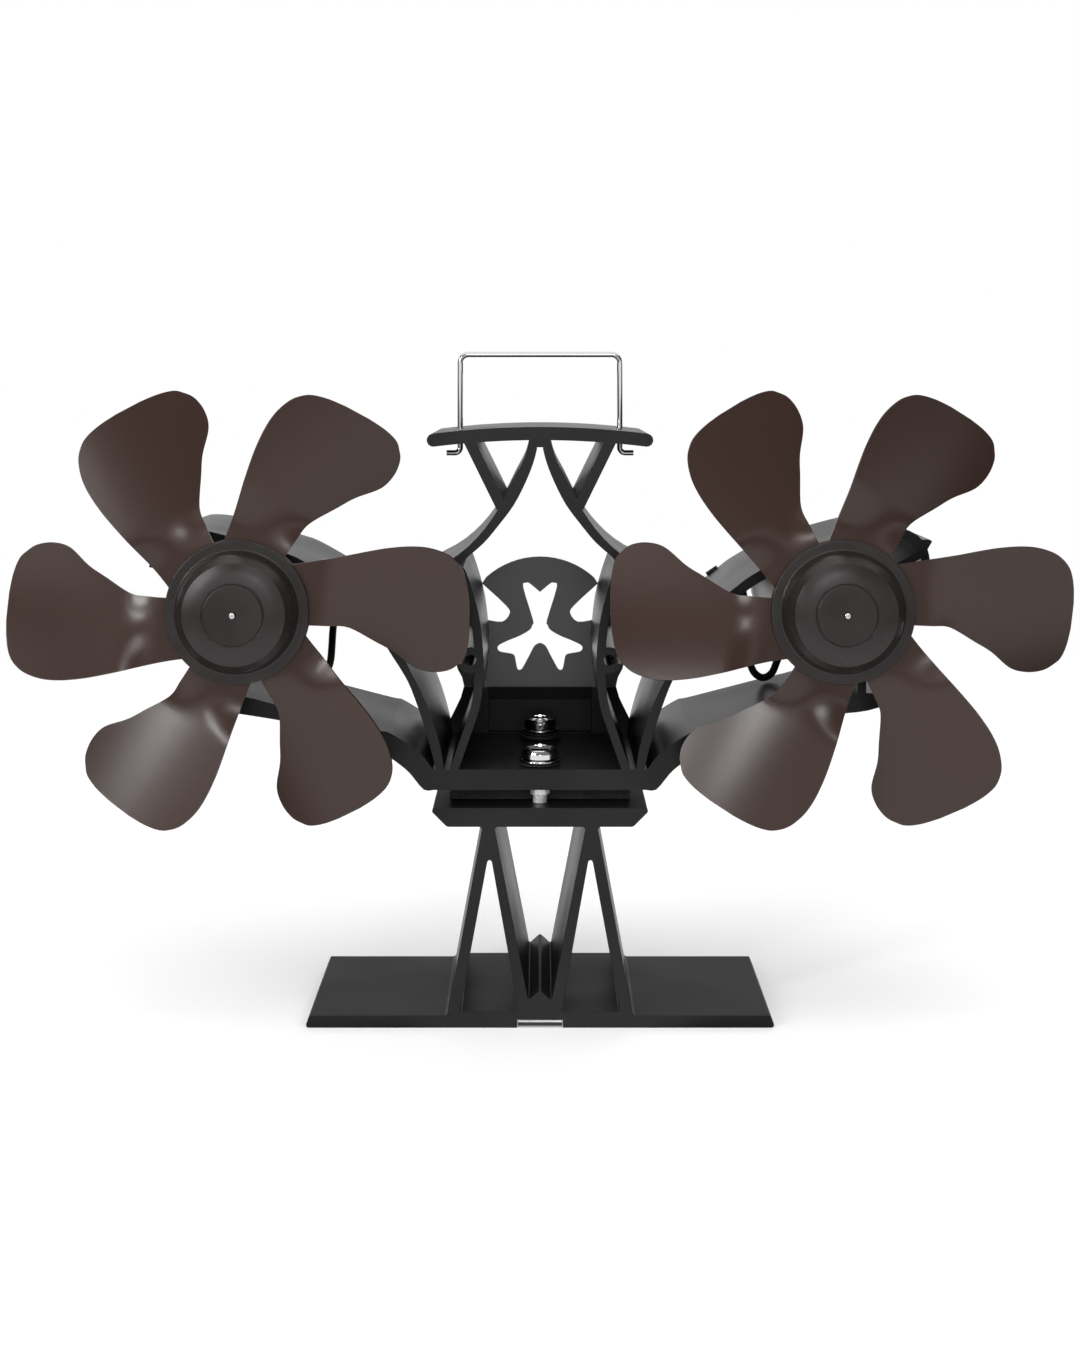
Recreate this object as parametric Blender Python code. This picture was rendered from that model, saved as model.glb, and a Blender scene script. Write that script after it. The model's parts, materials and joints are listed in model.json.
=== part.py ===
"""Stove fan: extruded base, thermoelectric module, extruded heatsink frame and two propellers.

Metres, +Z up, front towards -Y, origin on the stove top under the middle of the base.
"""

import math

import bmesh
import bpy
from mathutils import Matrix, Vector

# Shared sizes
DEPTH = 0.0700
GAP = 0.0003
OVERRUN = 0.0020
MERGE = 0.00001

# Base
BASE_WIDTH = 0.1642
BASE_PLATE = 0.0043
BASE_END_SLOPE = 0.0018
BASE_EDGE_RADIUS = 0.0010
BASE_FOOT_FILLET = 0.0014
BLOCK_WIDTH = 0.0756
BLOCK_BOTTOM = 0.0700
BLOCK_THICKNESS = 0.0066
BLOCK_CHAMFER = 0.0053
BLOCK_CORNER_RADIUS = 0.0020
LEG_FOOT_REACH = 0.0323
LEG_HEAD_REACH = 0.0201
LEG_FOOT_INSET = 0.0041
LEG_HEAD_INSET = 0.0159
LEG_OUTER_WALL = 0.0040
LEG_INNER_WALL = 0.0031
WINDOW_SILL = 0.0013
WINDOW_TOP_RADIUS = 0.0008
WINDOW_FOOT_RADIUS = 0.0008
LEG_VALLEY_HEIGHT = 0.0094
LEG_RIDGE_HEIGHT = 0.0131

# Strip under the base
GROOVE_WIDTH = 0.0160
GROOVE_HEIGHT = 0.0029
STRIP_WIDTH = 0.0154
STRIP_THICKNESS = 0.0012
STRIP_LENGTH = 0.0640
STRIP_FREE_LENGTH = 0.0480
STRIP_CRANK = 0.0030
STRIP_DROP = 0.0007
STRIP_SCREW_RADIUS = 0.0015
STRIP_SCREW_LENGTH = 0.0080
STRIP_HEAD_RADIUS = 0.0029
STRIP_HEAD_HEIGHT = 0.0008
STRIP_HEAD_GAP = 0.0005

# Module stack between base and heatsink
STACK_HEIGHT = 0.0063
MODULE_WIDTH = 0.0400
MODULE_THICKNESS = 0.0039
SEAL_WIDTH = 0.0640
SEAL_MARGIN = 0.0005
LEAD_START = 0.0080

# Heatsink floor and walls
FLOOR_WIDTH = 0.0812
FLOOR_THICKNESS = 0.0071
WALL_FOOT_REACH = 0.0322
WALL_WAIST_REACH = 0.0229
WALL_THICKNESS = 0.0031
PORT_OUTER_RADIUS = 0.0046
PORT_BORE_RADIUS = 0.0019
PORT_SLOT = 0.0026
PORT_HEIGHT = 0.0381
STRUT_FOOT_REACH = 0.0360

# Motor rings and wings
MOTOR_SPACING = 0.2036
MOTOR_HEIGHT = 0.1479
RING_RADIUS = 0.0210
RING_WALL = 0.0028
RING_SLIT = 0.0036
RING_SLIT_ANGLE = math.radians(243)
FIN_THICKNESS = 0.0026
FIN_ANGLE = math.radians(29)
WEB_THICKNESS = 0.0030
WEB_ANGLE = math.radians(302)
FIN_REACH_SHARE = 1.74

# Upper legs and top bar
BAR_WIDTH = 0.0790
BAR_TOP = 0.2094
BAR_THICKNESS = 0.0046
BAR_SAG = 0.0026
BRACE_THICKNESS = 0.0038
BRACE_HEAD_REACH = 0.0255
BRACE_FOOT_SHARE = 0.212
BRACE_FOOT_RISE_SHARE = 0.575
STEM_SHARE = 0.955

# Clamp bolts
BOLT_INSET = 0.0095
BOLT_RADIUS = 0.0021
BOLT_HOLE_RADIUS = 0.0024
BOLT_HEAD_RADIUS = 0.0063
BOLT_HEAD_HEIGHT = 0.0046
BOLT_RIM_HEIGHT = 0.0014
BOLT_FACE_RADIUS = 0.0038
WASHER_RADIUS = 0.0073
WASHER_THICKNESS = 0.0011
INSULATOR_RADIUS = 0.0070
INSULATOR_HEIGHT = 0.0005
COLLAR_RADIUS = 0.0034
COLLAR_FLANGE = 0.0010
COLLAR_SLEEVE_RADIUS = 0.0032
BUSH_RADIUS = 0.0075
BUSH_HEIGHT = 0.0013
RECESS_LENGTH = 0.0054
RECESS_WIDTH = 0.0013
RECESS_DEPTH = 0.0022

# Rear shield
SHEET = 0.0015
SHIELD_TOP = 0.1577
SHIELD_DOME_RADIUS = 0.0310
SHIELD_BOTTOM = 0.0892
SHIELD_EAR_REACH = 0.0326
ORNAMENT_REACH = 0.0163
ORNAMENT_BOTTOM = 0.1144
ORNAMENT_HEIGHT = 0.0332
POCKET_DEPTH = 0.0040
POCKET_TOP = 0.1078
POCKET_FOLD = 0.0055
POCKET_WIDTH = 0.0412
SHIELD_SCREW_RADIUS = 0.0016
SHIELD_HEAD_RADIUS = 0.0033
SHIELD_HEAD_HEIGHT = 0.0022
SHIELD_SCREW_LENGTH = 0.0100

# Wire handle
WIRE_RADIUS = 0.0010
HANDLE_WIDTH = 0.0584
HANDLE_RISE = 0.0256
HANDLE_BEND = 0.0030
HANDLE_FOOT = 0.0050
HANDLE_FOOT_DROP = 0.0058
HANDLE_HOLE_RADIUS = 0.0014

# Motors
CAN_RADIUS = 0.0160
CAN_LENGTH = 0.0200
CAN_FRONT_INSET = 0.0040
CAN_EDGE = 0.0010
CAP_LENGTH = 0.0040
BUSH_NOSE_RADIUS = 0.0035
BUSH_NOSE_LENGTH = 0.0020
SHAFT_RADIUS = 0.0010
SHAFT_CLEARANCE = 0.00005
TERMINAL_LENGTH = 0.0050
TERMINAL_WIDTH = 0.0024
TERMINAL_THICKNESS = 0.0006
TERMINAL_SPACING = 0.0030
TERMINAL_BLOCK = 0.0012
TERMINAL_INSET = 0.0060

# Propellers
BLADE_COUNT = 6
BLADE_RADIUS = 0.0780
BLADE_SHEET = 0.0009
BLADE_PITCH = math.radians(20.6)
BLADE_TWIST_END = 0.0400
DISC_RADIUS = 0.0245
BLADE_PLANE = 0.0235
BLADE_AXIS_SHARE = 0.072
BLADE_CAMBER_SHARE = 0.25

# Hubs
HUB_FACE_RADIUS = 0.0100
HUB_DOME_RADIUS = 0.0208
HUB_DOME_DEPTH = 0.0090
HUB_FLANGE_RADIUS = 0.0242
HUB_FLANGE_THICKNESS = 0.0014
HUB_WALL = 0.0018
HUB_BOSS_RADIUS = 0.0040
HUB_BOSS_PROUD = 0.0020
SHAFT_PROUD = 0.0012

# Leads
LEAD_RADIUS = 0.0014
CLIP_WALL = 0.0009
CLIP_LENGTH = 0.0050
CLIP_STEPS = 8

# Facets
ARC_STEPS = 4
BAR_STEPS = 8
ROUND_END_STEPS = 8
DOME_STEPS = 5
SHIELD_DOME_STEPS = 9
RING_STEPS = 36
HUB_STEPS = 32
INNER_DOME_STEPS = 3
CHORD_STEPS = 3
ROUND_STEPS = 28
SMALL_ROUND_STEPS = 16
EDGE_STEPS = 3
LEAD_STEPS = 2

# Heights and places worked out from the sizes above
FRONT = -DEPTH / 2
BACK = DEPTH / 2
BLOCK_TOP = BLOCK_BOTTOM + BLOCK_THICKNESS
FLOOR_BOTTOM = BLOCK_TOP + STACK_HEIGHT
FLOOR_TOP = FLOOR_BOTTOM + FLOOR_THICKNESS
MOTOR_X = MOTOR_SPACING / 2
BAR_UNDERSIDE = BAR_TOP - BAR_THICKNESS
PORT_Z = FLOOR_TOP + PORT_HEIGHT
PORT_X = WALL_WAIST_REACH + PORT_OUTER_RADIUS / 4

# Outlines of the heatsink, right half. Wing tables are in shares of the motor ring's radius from its axis.
ARCH_TOP_SHARES = (
    (-1.85, 0.076), (-1.60, 0.27), (-1.36, 0.452), (-0.81, 0.762), (-0.505, 0.867),
    (-0.23, 0.957), (0.295, 1.11), (0.80, 1.225), (1.19, 1.238), (1.43, 1.12),
)
ARCH_UNDER_SHARES = (
    (-1.98, -0.12), (-1.70, 0.00), (-1.27, 0.31), (-0.75, 0.586), (-0.18, 0.795),
    (0.34, 0.94), (0.80, 1.06), (1.14, 1.075), (1.33, 0.98),
)
TIP_SHARES = (
    (1.43, 1.12), (1.485, 1.06), (1.62, 1.06), (1.66, 1.03), (1.61, 0.94), (1.585, 0.90),
    (1.61, 0.80), (1.64, 0.60), (1.52, 0.58), (1.46, 0.78), (1.33, 0.98),
)

# Strut tables run from the floor's edge to the valley where it meets the arch:
# across from the strut's foot, up from the floor.
STRUT_LEFT_SHARES = (
    (-0.10, -0.03), (-0.052, 0.119), (0.067, 0.306), (0.185, 0.437), (0.344, 0.58),
    (0.415, 0.649), (0.574, 0.773), (0.74, 0.885), (1.00, 1.000),
)
STRUT_RIGHT_SHARES = (
    (0.00, -0.03), (0.052, 0.079), (0.159, 0.252), (0.330, 0.472), (0.448, 0.575),
    (0.567, 0.659), (0.685, 0.741), (0.87, 0.845), (1.05, 0.945),
)

# Upper leg tables run from the valley up to the bar: across from the middle, up from the valley.
LEG_OUTER_SHARES = (
    (0.057, 1.02), (0.084, 0.892), (0.143, 0.761), (0.232, 0.564), (0.354, 0.379),
    (0.513, 0.233), (0.762, 0.104), (0.905, 0.041), (1.02, -0.02),
)
LEG_INNER_SHARES = (
    (0.017, 0.941), (0.037, 0.856), (0.078, 0.738), (0.143, 0.594), (0.227, 0.466),
    (0.311, 0.352), (0.417, 0.246), (0.479, 0.170), (0.62, 0.108), (0.762, 0.040),
    (0.905, -0.026), (1.00, -0.075),
)

# Wall table: reach of the outer side between waist and foot, and height from floor to the leg.
WALL_OUTER_SHARES = (
    (1.00, -0.03), (0.495, 0.165), (0.15, 0.305), (0.00, 0.445), (0.00, 0.60),
    (0.15, 0.775), (0.41, 0.91), (0.64, 1.00),
)

# Lower arm tables run from the floor's edge to the motor axis and up from the floor's underside.
ARM_TOP_SHARES = (
    (-0.06, 0.10), (0.003, 0.180), (0.047, 0.209), (0.101, 0.254), (0.199, 0.309),
    (0.25, 0.318), (0.464, 0.369), (0.680, 0.422), (0.86, 0.462), (1.02, 0.500), (1.20, 0.520), (1.36, 0.505),
)
ARM_UNDER_SHARES = (
    (-0.06, 0.00), (0.00, 0.003), (0.077, 0.088), (0.134, 0.135), (0.204, 0.178),
    (0.40, 0.262), (0.62, 0.334), (0.806, 0.371), (1.036, 0.406), (1.20, 0.425), (1.36, 0.470),
)

# Shield: reach in shares of its ears, height from its lower edge.
SHIELD_SHARES = (
    (1.104, 0.0), (1.058, 0.089), (0.896, 0.273), (1.00, 0.429), (0.859, 0.683),
    (0.62, 0.644), (0.445, 0.634), (0.359, 0.679), (0.396, 0.723), (0.684, 0.85),
)

# Fork cut-out: reach in shares of its arms, height from the tips of its legs.
ORNAMENT_SHARES = (
    (0.0, 0.304), (0.129, 0.271), (0.245, 0.166), (0.344, 0.075), (0.436, 0.0), (0.528, 0.0),
    (0.577, 0.108), (0.601, 0.154), (0.669, 0.178), (0.883, 0.196), (0.975, 0.214), (1.0, 0.247),
    (0.957, 0.283), (0.718, 0.340), (0.485, 0.386), (0.245, 0.455), (0.178, 0.515), (0.166, 0.572),
    (0.399, 0.955), (0.319, 1.0), (0.245, 0.994), (0.0, 0.895),
)

# Blade that points right: reach, lower edge and upper edge in shares of the propeller's radius.
BLADE_SHARES = (
    (0.230, -0.059, 0.203), (0.295, -0.059, 0.212), (0.385, -0.064, 0.228), (0.474, -0.074, 0.245),
    (0.590, -0.141, 0.268), (0.667, -0.188, 0.280), (0.756, -0.262, 0.286), (0.833, -0.283, 0.279),
    (0.903, -0.274, 0.255), (0.946, -0.246, 0.222), (0.974, -0.215, 0.181), (0.992, -0.154, 0.114),
    (1.000, -0.077, 0.036),
)

# Route of the right lead's centre, from the module to the motor.
LEAD_POINTS = (
    (0.0080, 0.0203, 0.07975), (0.0080, 0.0260, 0.07975), (0.0085, 0.0320, 0.0798), (0.0110, 0.0362, 0.0800),
    (0.0170, 0.0382, 0.0810), (0.0260, 0.0378, 0.0832), (0.0342, 0.0371, 0.0855), (0.0385, 0.0369, 0.0905),
    (0.0388, 0.0369, 0.0980), (0.0397, 0.0369, 0.1060), (0.0425, 0.0369, 0.1150), (0.0460, 0.0369, 0.1230),
    (0.0502, 0.0369, 0.1305), (0.0550, 0.0369, 0.1378), (0.0608, 0.0369, 0.1448), (0.0672, 0.0369, 0.1507),
    (0.0728, 0.0371, 0.1530), (0.0765, 0.0374, 0.1505), (0.0780, 0.0372, 0.1455), (0.0786, 0.0355, 0.1400),
    (0.0789, 0.0330, 0.1345), (0.0791, 0.0300, 0.1290), (0.0792, 0.0275, 0.1235), (0.0796, 0.0257, 0.1185),
    (0.0814, 0.0250, 0.1145), (0.0846, 0.0250, 0.1128), (0.0878, 0.0250, 0.1145), (0.0896, 0.0250, 0.1185),
    (0.0912, 0.0248, 0.1230), (0.0920, 0.0240, 0.1275), (0.0932, 0.0220, 0.1315), (0.0948, 0.0180, 0.1352),
    (0.0960, 0.0130, 0.1392), (0.0960, 0.0080, 0.1432), (0.0958, 0.0035, 0.1466), (0.0958, 0.0000, 0.1477),
    (0.0958, -0.0013, 0.1479),
)
CLIP_POINT = 15


def clear_scene():
    for obj in list(bpy.data.objects):
        bpy.data.objects.remove(obj, do_unlink=True)


def make_material(name, colour, metallic, roughness):
    material = bpy.data.materials.new(name)
    material.use_nodes = True
    shader = material.node_tree.nodes["Principled BSDF"]
    shader.inputs["Base Color"].default_value = (*colour, 1)
    shader.inputs["Metallic"].default_value = metallic
    shader.inputs["Roughness"].default_value = roughness
    return material


def smooth_curve(points, steps):
    """Catmull-Rom curve through the points."""
    last = len(points) - 1
    curve = []
    for i in range(last):
        before = points[max(i - 1, 0)]
        after = points[min(i + 2, last)]
        for k in range(steps):
            t = k / steps
            curve.append(tuple(
                (2 * b + (c - a) * t + (2 * a - 5 * b + 4 * c - d) * t ** 2
                 + (3 * b - a - 3 * c + d) * t ** 3) / 2
                for a, b, c, d in zip(before, points[i], points[i + 1], after)))
    curve.append(tuple(points[last]))
    return curve


def rounded_outline(corners):
    """Closed outline whose (x, z, radius) corners are filleted."""
    outline = []
    count = len(corners)
    for i, (x, z, radius) in enumerate(corners):
        here = Vector((x, z))
        if radius == 0:
            outline.append((x, z))
            continue
        before = Vector(corners[i - 1][:2]) - here
        after = Vector(corners[(i + 1) % count][:2]) - here
        half = before.angle(after) / 2
        reach = radius / math.tan(half)
        start = here + before.normalized() * reach
        end = here + after.normalized() * reach
        centre = here + (before.normalized() + after.normalized()).normalized() * (radius / math.sin(half))
        sweep = math.pi - 2 * half
        turn = 1 if (start - centre).cross(end - centre) > 0 else -1
        for k in range(ARC_STEPS + 1):
            angle = turn * sweep * k / ARC_STEPS
            spoke = start - centre
            outline.append((
                centre.x + spoke.x * math.cos(angle) - spoke.y * math.sin(angle),
                centre.y + spoke.x * math.sin(angle) + spoke.y * math.cos(angle)))
    return outline


def circle(x, z, radius, steps):
    return [(x + radius * math.cos(math.tau * k / steps), z + radius * math.sin(math.tau * k / steps))
            for k in range(steps)]


def mirrored(outline):
    return [(-x, z) for x, z in reversed(outline)]


def add_object(name, bm, material):
    bmesh.ops.recalc_face_normals(bm, faces=bm.faces[:])
    mesh = bpy.data.meshes.new(name)
    bm.to_mesh(mesh)
    bm.free()
    obj = bpy.data.objects.new(name, mesh)
    bpy.context.scene.collection.objects.link(obj)
    if material:
        obj.data.materials.append(material)
    shade(obj)
    return obj


def shade(obj):
    obj.data.shade_smooth()
    obj.data.set_sharp_from_angle(angle=math.radians(32))


def prism(name, outline, holes, front, back, material):
    """Flat outline in the XZ plane, pushed from front to back along Y."""
    bm = bmesh.new()
    for loop in [outline] + holes:
        verts = [bm.verts.new((x, front, z)) for x, z in loop]
        for a, b in zip(verts, verts[1:] + verts[:1]):
            bm.edges.new((a, b))
    bmesh.ops.triangle_fill(bm, use_beauty=True, edges=bm.edges[:])
    grown = bmesh.ops.extrude_face_region(bm, geom=bm.faces[:])
    moved = [item for item in grown["geom"] if isinstance(item, bmesh.types.BMVert)]
    bmesh.ops.translate(bm, verts=moved, vec=(0, back - front, 0))
    return add_object(name, bm, material)


def upright(name, outline, holes, bottom, top, material):
    """Flat outline in the XY plane, pushed up from bottom to top."""
    obj = prism(name, [(x, -y) for x, y in outline], [[(x, -y) for x, y in hole] for hole in holes],
                bottom, top, material)
    obj.data.transform(Matrix.Rotation(math.radians(90), 4, "X"))
    return obj


def turned(name, profile, steps, closed, place, material):
    """Turn (radius, height) points round Z; an open profile starts and ends on the axis."""
    bm = bmesh.new()
    rings = []
    for radius, height in profile:
        if radius == 0:
            rings.append([bm.verts.new((0, 0, height))])
        else:
            rings.append([bm.verts.new((radius * math.cos(math.tau * k / steps),
                                        radius * math.sin(math.tau * k / steps), height))
                          for k in range(steps)])
    pairs = list(zip(rings, rings[1:]))
    if closed:
        pairs.append((rings[-1], rings[0]))
    for low, high in pairs:
        for k in range(steps):
            following = (k + 1) % steps
            corners = [low[k % len(low)], low[following % len(low)],
                       high[following % len(high)], high[k % len(high)]]
            bm.faces.new(list(dict.fromkeys(corners)))
    bm.transform(place)
    return add_object(name, bm, material)


def make_axis(name, place, pieces):
    """Empty on a joint's axis that carries the pieces that move there."""
    axis = bpy.data.objects.new(name, None)
    axis.location = place
    bpy.context.scene.collection.objects.link(axis)
    for piece in pieces:
        piece.parent = axis
        piece.matrix_parent_inverse = Matrix.Translation(-Vector(place))


def centre_on_footprint():
    """Shift everything so that the origin lies under the middle of the whole fan."""
    front = hub_front() - SHAFT_PROUD
    back = BACK + GAP + POCKET_DEPTH + SHEET
    for obj in bpy.data.objects:
        if obj.parent is None:
            obj.location.y -= (front + back) / 2


def upward(x, y, z):
    return Matrix.Translation((x, y, z))


def backward(x, y, z):
    """Local Z runs towards the back."""
    return Matrix.Translation((x, y, z)) @ Matrix.Rotation(math.radians(-90), 4, "X")


def bake(obj):
    """Replace the mesh by what the modifiers make of it."""
    graph = bpy.context.evaluated_depsgraph_get()
    mesh = bpy.data.meshes.new_from_object(obj.evaluated_get(graph))
    obj.modifiers.clear()
    obj.data = mesh


def tidy_flats(obj):
    """Join the coplanar faces that a Boolean leaves on flat sides."""
    bm = bmesh.new()
    bm.from_mesh(obj.data)
    bmesh.ops.remove_doubles(bm, verts=bm.verts[:], dist=MERGE)
    bmesh.ops.dissolve_limit(bm, angle_limit=math.radians(0.5), verts=bm.verts[:], edges=bm.edges[:],
                             delimit={"NORMAL"})
    bmesh.ops.triangulate(bm, faces=[face for face in bm.faces if len(face.verts) > 4])
    bm.to_mesh(obj.data)
    bm.free()
    shade(obj)


def combine(obj, tools, operation):
    """Boolean with several closed tools at once, which are then removed."""
    group = bpy.data.collections.new(obj.name + "_tools")
    bpy.context.scene.collection.children.link(group)
    for tool in tools:
        bpy.context.scene.collection.objects.unlink(tool)
        group.objects.link(tool)
        tool.hide_render = True
        tool.display_type = "WIRE"
    step = obj.modifiers.new(operation.lower(), "BOOLEAN")
    step.operation = operation
    step.solver = "EXACT"
    step.operand_type = "COLLECTION"
    step.collection = group
    bake(obj)
    for tool in tools:
        bpy.data.objects.remove(tool, do_unlink=True)
    bpy.data.collections.remove(group)
    tidy_flats(obj)


def hole_cutter(radius, bottom, top, x, y):
    profile = [(0, bottom), (radius, bottom), (radius, top), (0, top)]
    return turned("cutter", profile, SMALL_ROUND_STEPS, False, upward(x, y, 0), None)


def bolt_places():
    return (("front", FRONT + BOLT_INSET), ("rear", BACK - BOLT_INSET))


def leg_reach(height, foot, head):
    """Reach of a straight leg edge at a height between base plate and block."""
    share = (height - BASE_PLATE) / (BLOCK_BOTTOM - BASE_PLATE)
    return foot + (head - foot) * share


def make_base(material):
    half = BASE_WIDTH / 2
    block_half = BLOCK_WIDTH / 2
    groove_half = GROOVE_WIDTH / 2
    right = [
        (groove_half, GROOVE_HEIGHT, 0),
        (groove_half, 0, 0),
        (half, 0, BASE_EDGE_RADIUS),
        (half - BASE_END_SLOPE, BASE_PLATE, BASE_EDGE_RADIUS / 2),
        (LEG_FOOT_REACH, BASE_PLATE, BASE_FOOT_FILLET),
        (LEG_HEAD_REACH, BLOCK_BOTTOM, BASE_EDGE_RADIUS),
        (block_half - BLOCK_CHAMFER, BLOCK_BOTTOM, BLOCK_CORNER_RADIUS),
        (block_half, BLOCK_BOTTOM + BLOCK_CHAMFER, BASE_EDGE_RADIUS),
        (block_half - BASE_EDGE_RADIUS / 2, BLOCK_TOP, 0),
    ]
    left = [(-x, z, radius) for x, z, radius in reversed(right)]
    sill = BASE_PLATE + WINDOW_SILL
    window_left = leg_reach(sill, LEG_FOOT_INSET, LEG_HEAD_INSET) + LEG_INNER_WALL
    window_right = leg_reach(sill, LEG_FOOT_REACH, LEG_HEAD_REACH) - LEG_OUTER_WALL
    both_walls = LEG_OUTER_WALL + LEG_INNER_WALL
    open_foot = LEG_FOOT_REACH - LEG_FOOT_INSET - both_walls
    open_head = LEG_HEAD_REACH - LEG_HEAD_INSET - both_walls
    apex = BASE_PLATE + (BLOCK_BOTTOM - BASE_PLATE) * open_foot / (open_foot - open_head)
    window = rounded_outline([
        (window_left, sill, WINDOW_FOOT_RADIUS),
        (window_right, sill, WINDOW_FOOT_RADIUS),
        (leg_reach(apex, LEG_FOOT_INSET, LEG_HEAD_INSET) + LEG_INNER_WALL, apex, WINDOW_TOP_RADIUS),
    ])
    middle = rounded_outline([
        (0, LEG_RIDGE_HEIGHT, BASE_EDGE_RADIUS),
        (LEG_FOOT_INSET, LEG_VALLEY_HEIGHT, BASE_EDGE_RADIUS / 2),
        (LEG_HEAD_INSET, BLOCK_BOTTOM, BASE_EDGE_RADIUS),
        (-LEG_HEAD_INSET, BLOCK_BOTTOM, BASE_EDGE_RADIUS),
        (-LEG_FOOT_INSET, LEG_VALLEY_HEIGHT, BASE_EDGE_RADIUS / 2),
    ])
    windows = [window, mirrored(window), middle]
    base = prism("base", rounded_outline(right + left), windows, FRONT, BACK, material)
    cutters = [hole_cutter(BOLT_HOLE_RADIUS, BLOCK_BOTTOM - OVERRUN, BLOCK_TOP + OVERRUN, 0, y)
               for _, y in bolt_places()]
    screw_top = GROOVE_HEIGHT + STRIP_SCREW_LENGTH
    cutters.append(hole_cutter(STRIP_SCREW_RADIUS + GAP, 0, screw_top, 0, strip_screw_y()))
    combine(base, cutters, "DIFFERENCE")
    return base


def strip_back():
    return STRIP_LENGTH / 2


def strip_hinge_y():
    return strip_back() - (STRIP_LENGTH - STRIP_FREE_LENGTH)


def strip_screw_y():
    return (strip_back() + strip_hinge_y() + STRIP_CRANK) / 2


def make_strip(material):
    """Strip with a raised rear end, seen from the side, pushed across its width."""
    raised_top = GROOVE_HEIGHT - GAP
    raised_bottom = raised_top - STRIP_THICKNESS
    low_bottom = STRIP_DROP
    low_top = STRIP_DROP + STRIP_THICKNESS
    hinge = strip_hinge_y()
    tip = strip_back() - STRIP_LENGTH
    lean = STRIP_THICKNESS / 4
    side = [
        (tip, low_bottom), (hinge + lean, low_bottom), (hinge + STRIP_CRANK + lean, raised_bottom),
        (strip_back(), raised_bottom), (strip_back(), raised_top), (hinge + STRIP_CRANK - lean, raised_top),
        (hinge - lean, low_top), (tip, low_top),
    ]
    strip = prism("bimetal_strip", side, [], -STRIP_WIDTH / 2, STRIP_WIDTH / 2, material)
    strip.data.transform(Matrix.Rotation(math.radians(90), 4, "Z"))
    cutter = hole_cutter(STRIP_SCREW_RADIUS + GAP, 0, GROOVE_HEIGHT + OVERRUN, 0, strip_screw_y())
    combine(strip, [cutter], "DIFFERENCE")
    return strip


def valley():
    """Point where strut, arch and upper leg meet."""
    across, up = ARCH_TOP_SHARES[0]
    return MOTOR_X + across * RING_RADIUS, MOTOR_HEIGHT + up * RING_RADIUS


def spread(shares, x_start, x_span, z_start, z_span):
    return [(x_start + across * x_span, z_start + up * z_span) for across, up in shares]


def band(first, second, steps):
    """Closed outline between two edges that run the same way."""
    return smooth_curve(first, steps) + list(reversed(smooth_curve(second, steps)))


def wall_outline():
    _, valley_z = valley()
    rise = valley_z + LEG_INNER_SHARES[7][1] * (BAR_UNDERSIDE - valley_z) - FLOOR_TOP
    outer = spread(WALL_OUTER_SHARES, WALL_WAIST_REACH, WALL_FOOT_REACH - WALL_WAIST_REACH, FLOOR_TOP, rise)
    head_x, head_z = outer[-1]
    outer.append((head_x + WALL_THICKNESS / 3, head_z + WALL_THICKNESS / 2))
    inner = [(x - WALL_THICKNESS, z) for x, z in outer]
    return band(outer, inner, EDGE_STEPS)


def leg_outline():
    valley_x, valley_z = valley()
    rise = BAR_UNDERSIDE - valley_z
    outer = spread(LEG_OUTER_SHARES, 0, valley_x, valley_z, rise)
    inner = spread(LEG_INNER_SHARES, 0, valley_x, valley_z, rise)
    return band(outer, inner, EDGE_STEPS)


def strut_outline():
    valley_x, valley_z = valley()
    span = valley_x - STRUT_FOOT_REACH
    left = spread(STRUT_LEFT_SHARES, STRUT_FOOT_REACH, span, FLOOR_TOP, valley_z - FLOOR_TOP)
    right = spread(STRUT_RIGHT_SHARES, STRUT_FOOT_REACH, span, FLOOR_TOP, valley_z - FLOOR_TOP)
    return band(left, right, EDGE_STEPS)


def arch_outline():
    top = spread(ARCH_TOP_SHARES, MOTOR_X, RING_RADIUS, MOTOR_HEIGHT, RING_RADIUS)
    under = spread(ARCH_UNDER_SHARES, MOTOR_X, RING_RADIUS, MOTOR_HEIGHT, RING_RADIUS)
    tip = spread(TIP_SHARES[1:-1], MOTOR_X, RING_RADIUS, MOTOR_HEIGHT, RING_RADIUS)
    return smooth_curve(top, EDGE_STEPS) + tip + list(reversed(smooth_curve(under, EDGE_STEPS)))


def arm_outline():
    half = FLOOR_WIDTH / 2
    top = spread(ARM_TOP_SHARES, half, MOTOR_X - half, FLOOR_BOTTOM, MOTOR_HEIGHT - FLOOR_BOTTOM)
    under = spread(ARM_UNDER_SHARES, half, MOTOR_X - half, FLOOR_BOTTOM, MOTOR_HEIGHT - FLOOR_BOTTOM)
    return band(top, under, EDGE_STEPS)


def stripe(start, end, thickness):
    """Straight bar of even thickness between two points."""
    along = (Vector(end) - Vector(start)).normalized()
    side = Vector((-along.y, along.x)) * thickness / 2
    corners = [Vector(start) + side, Vector(start) - side, Vector(end) - side, Vector(end) + side]
    return [(corner.x, corner.y) for corner in corners]


def from_motor(radius, angle):
    return MOTOR_X + radius * math.cos(angle), MOTOR_HEIGHT + radius * math.sin(angle)


def fin_outline():
    end_radius = RING_RADIUS * FIN_REACH_SHARE
    root = from_motor(RING_RADIUS - RING_WALL / 2, FIN_ANGLE)
    return stripe(root, from_motor(end_radius, FIN_ANGLE), FIN_THICKNESS)


def web_outline():
    top_x, top_z = from_motor(RING_RADIUS - RING_WALL / 2, WEB_ANGLE)
    arm = spread(ARM_TOP_SHARES, 0, 0, FLOOR_BOTTOM, MOTOR_HEIGHT - FLOOR_BOTTOM)
    return stripe((top_x, top_z), (top_x, arm[-2][1] - WEB_THICKNESS), WEB_THICKNESS)


def bar_height(x):
    return BAR_TOP - BAR_SAG * (2 * x / BAR_WIDTH) ** 2


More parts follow.
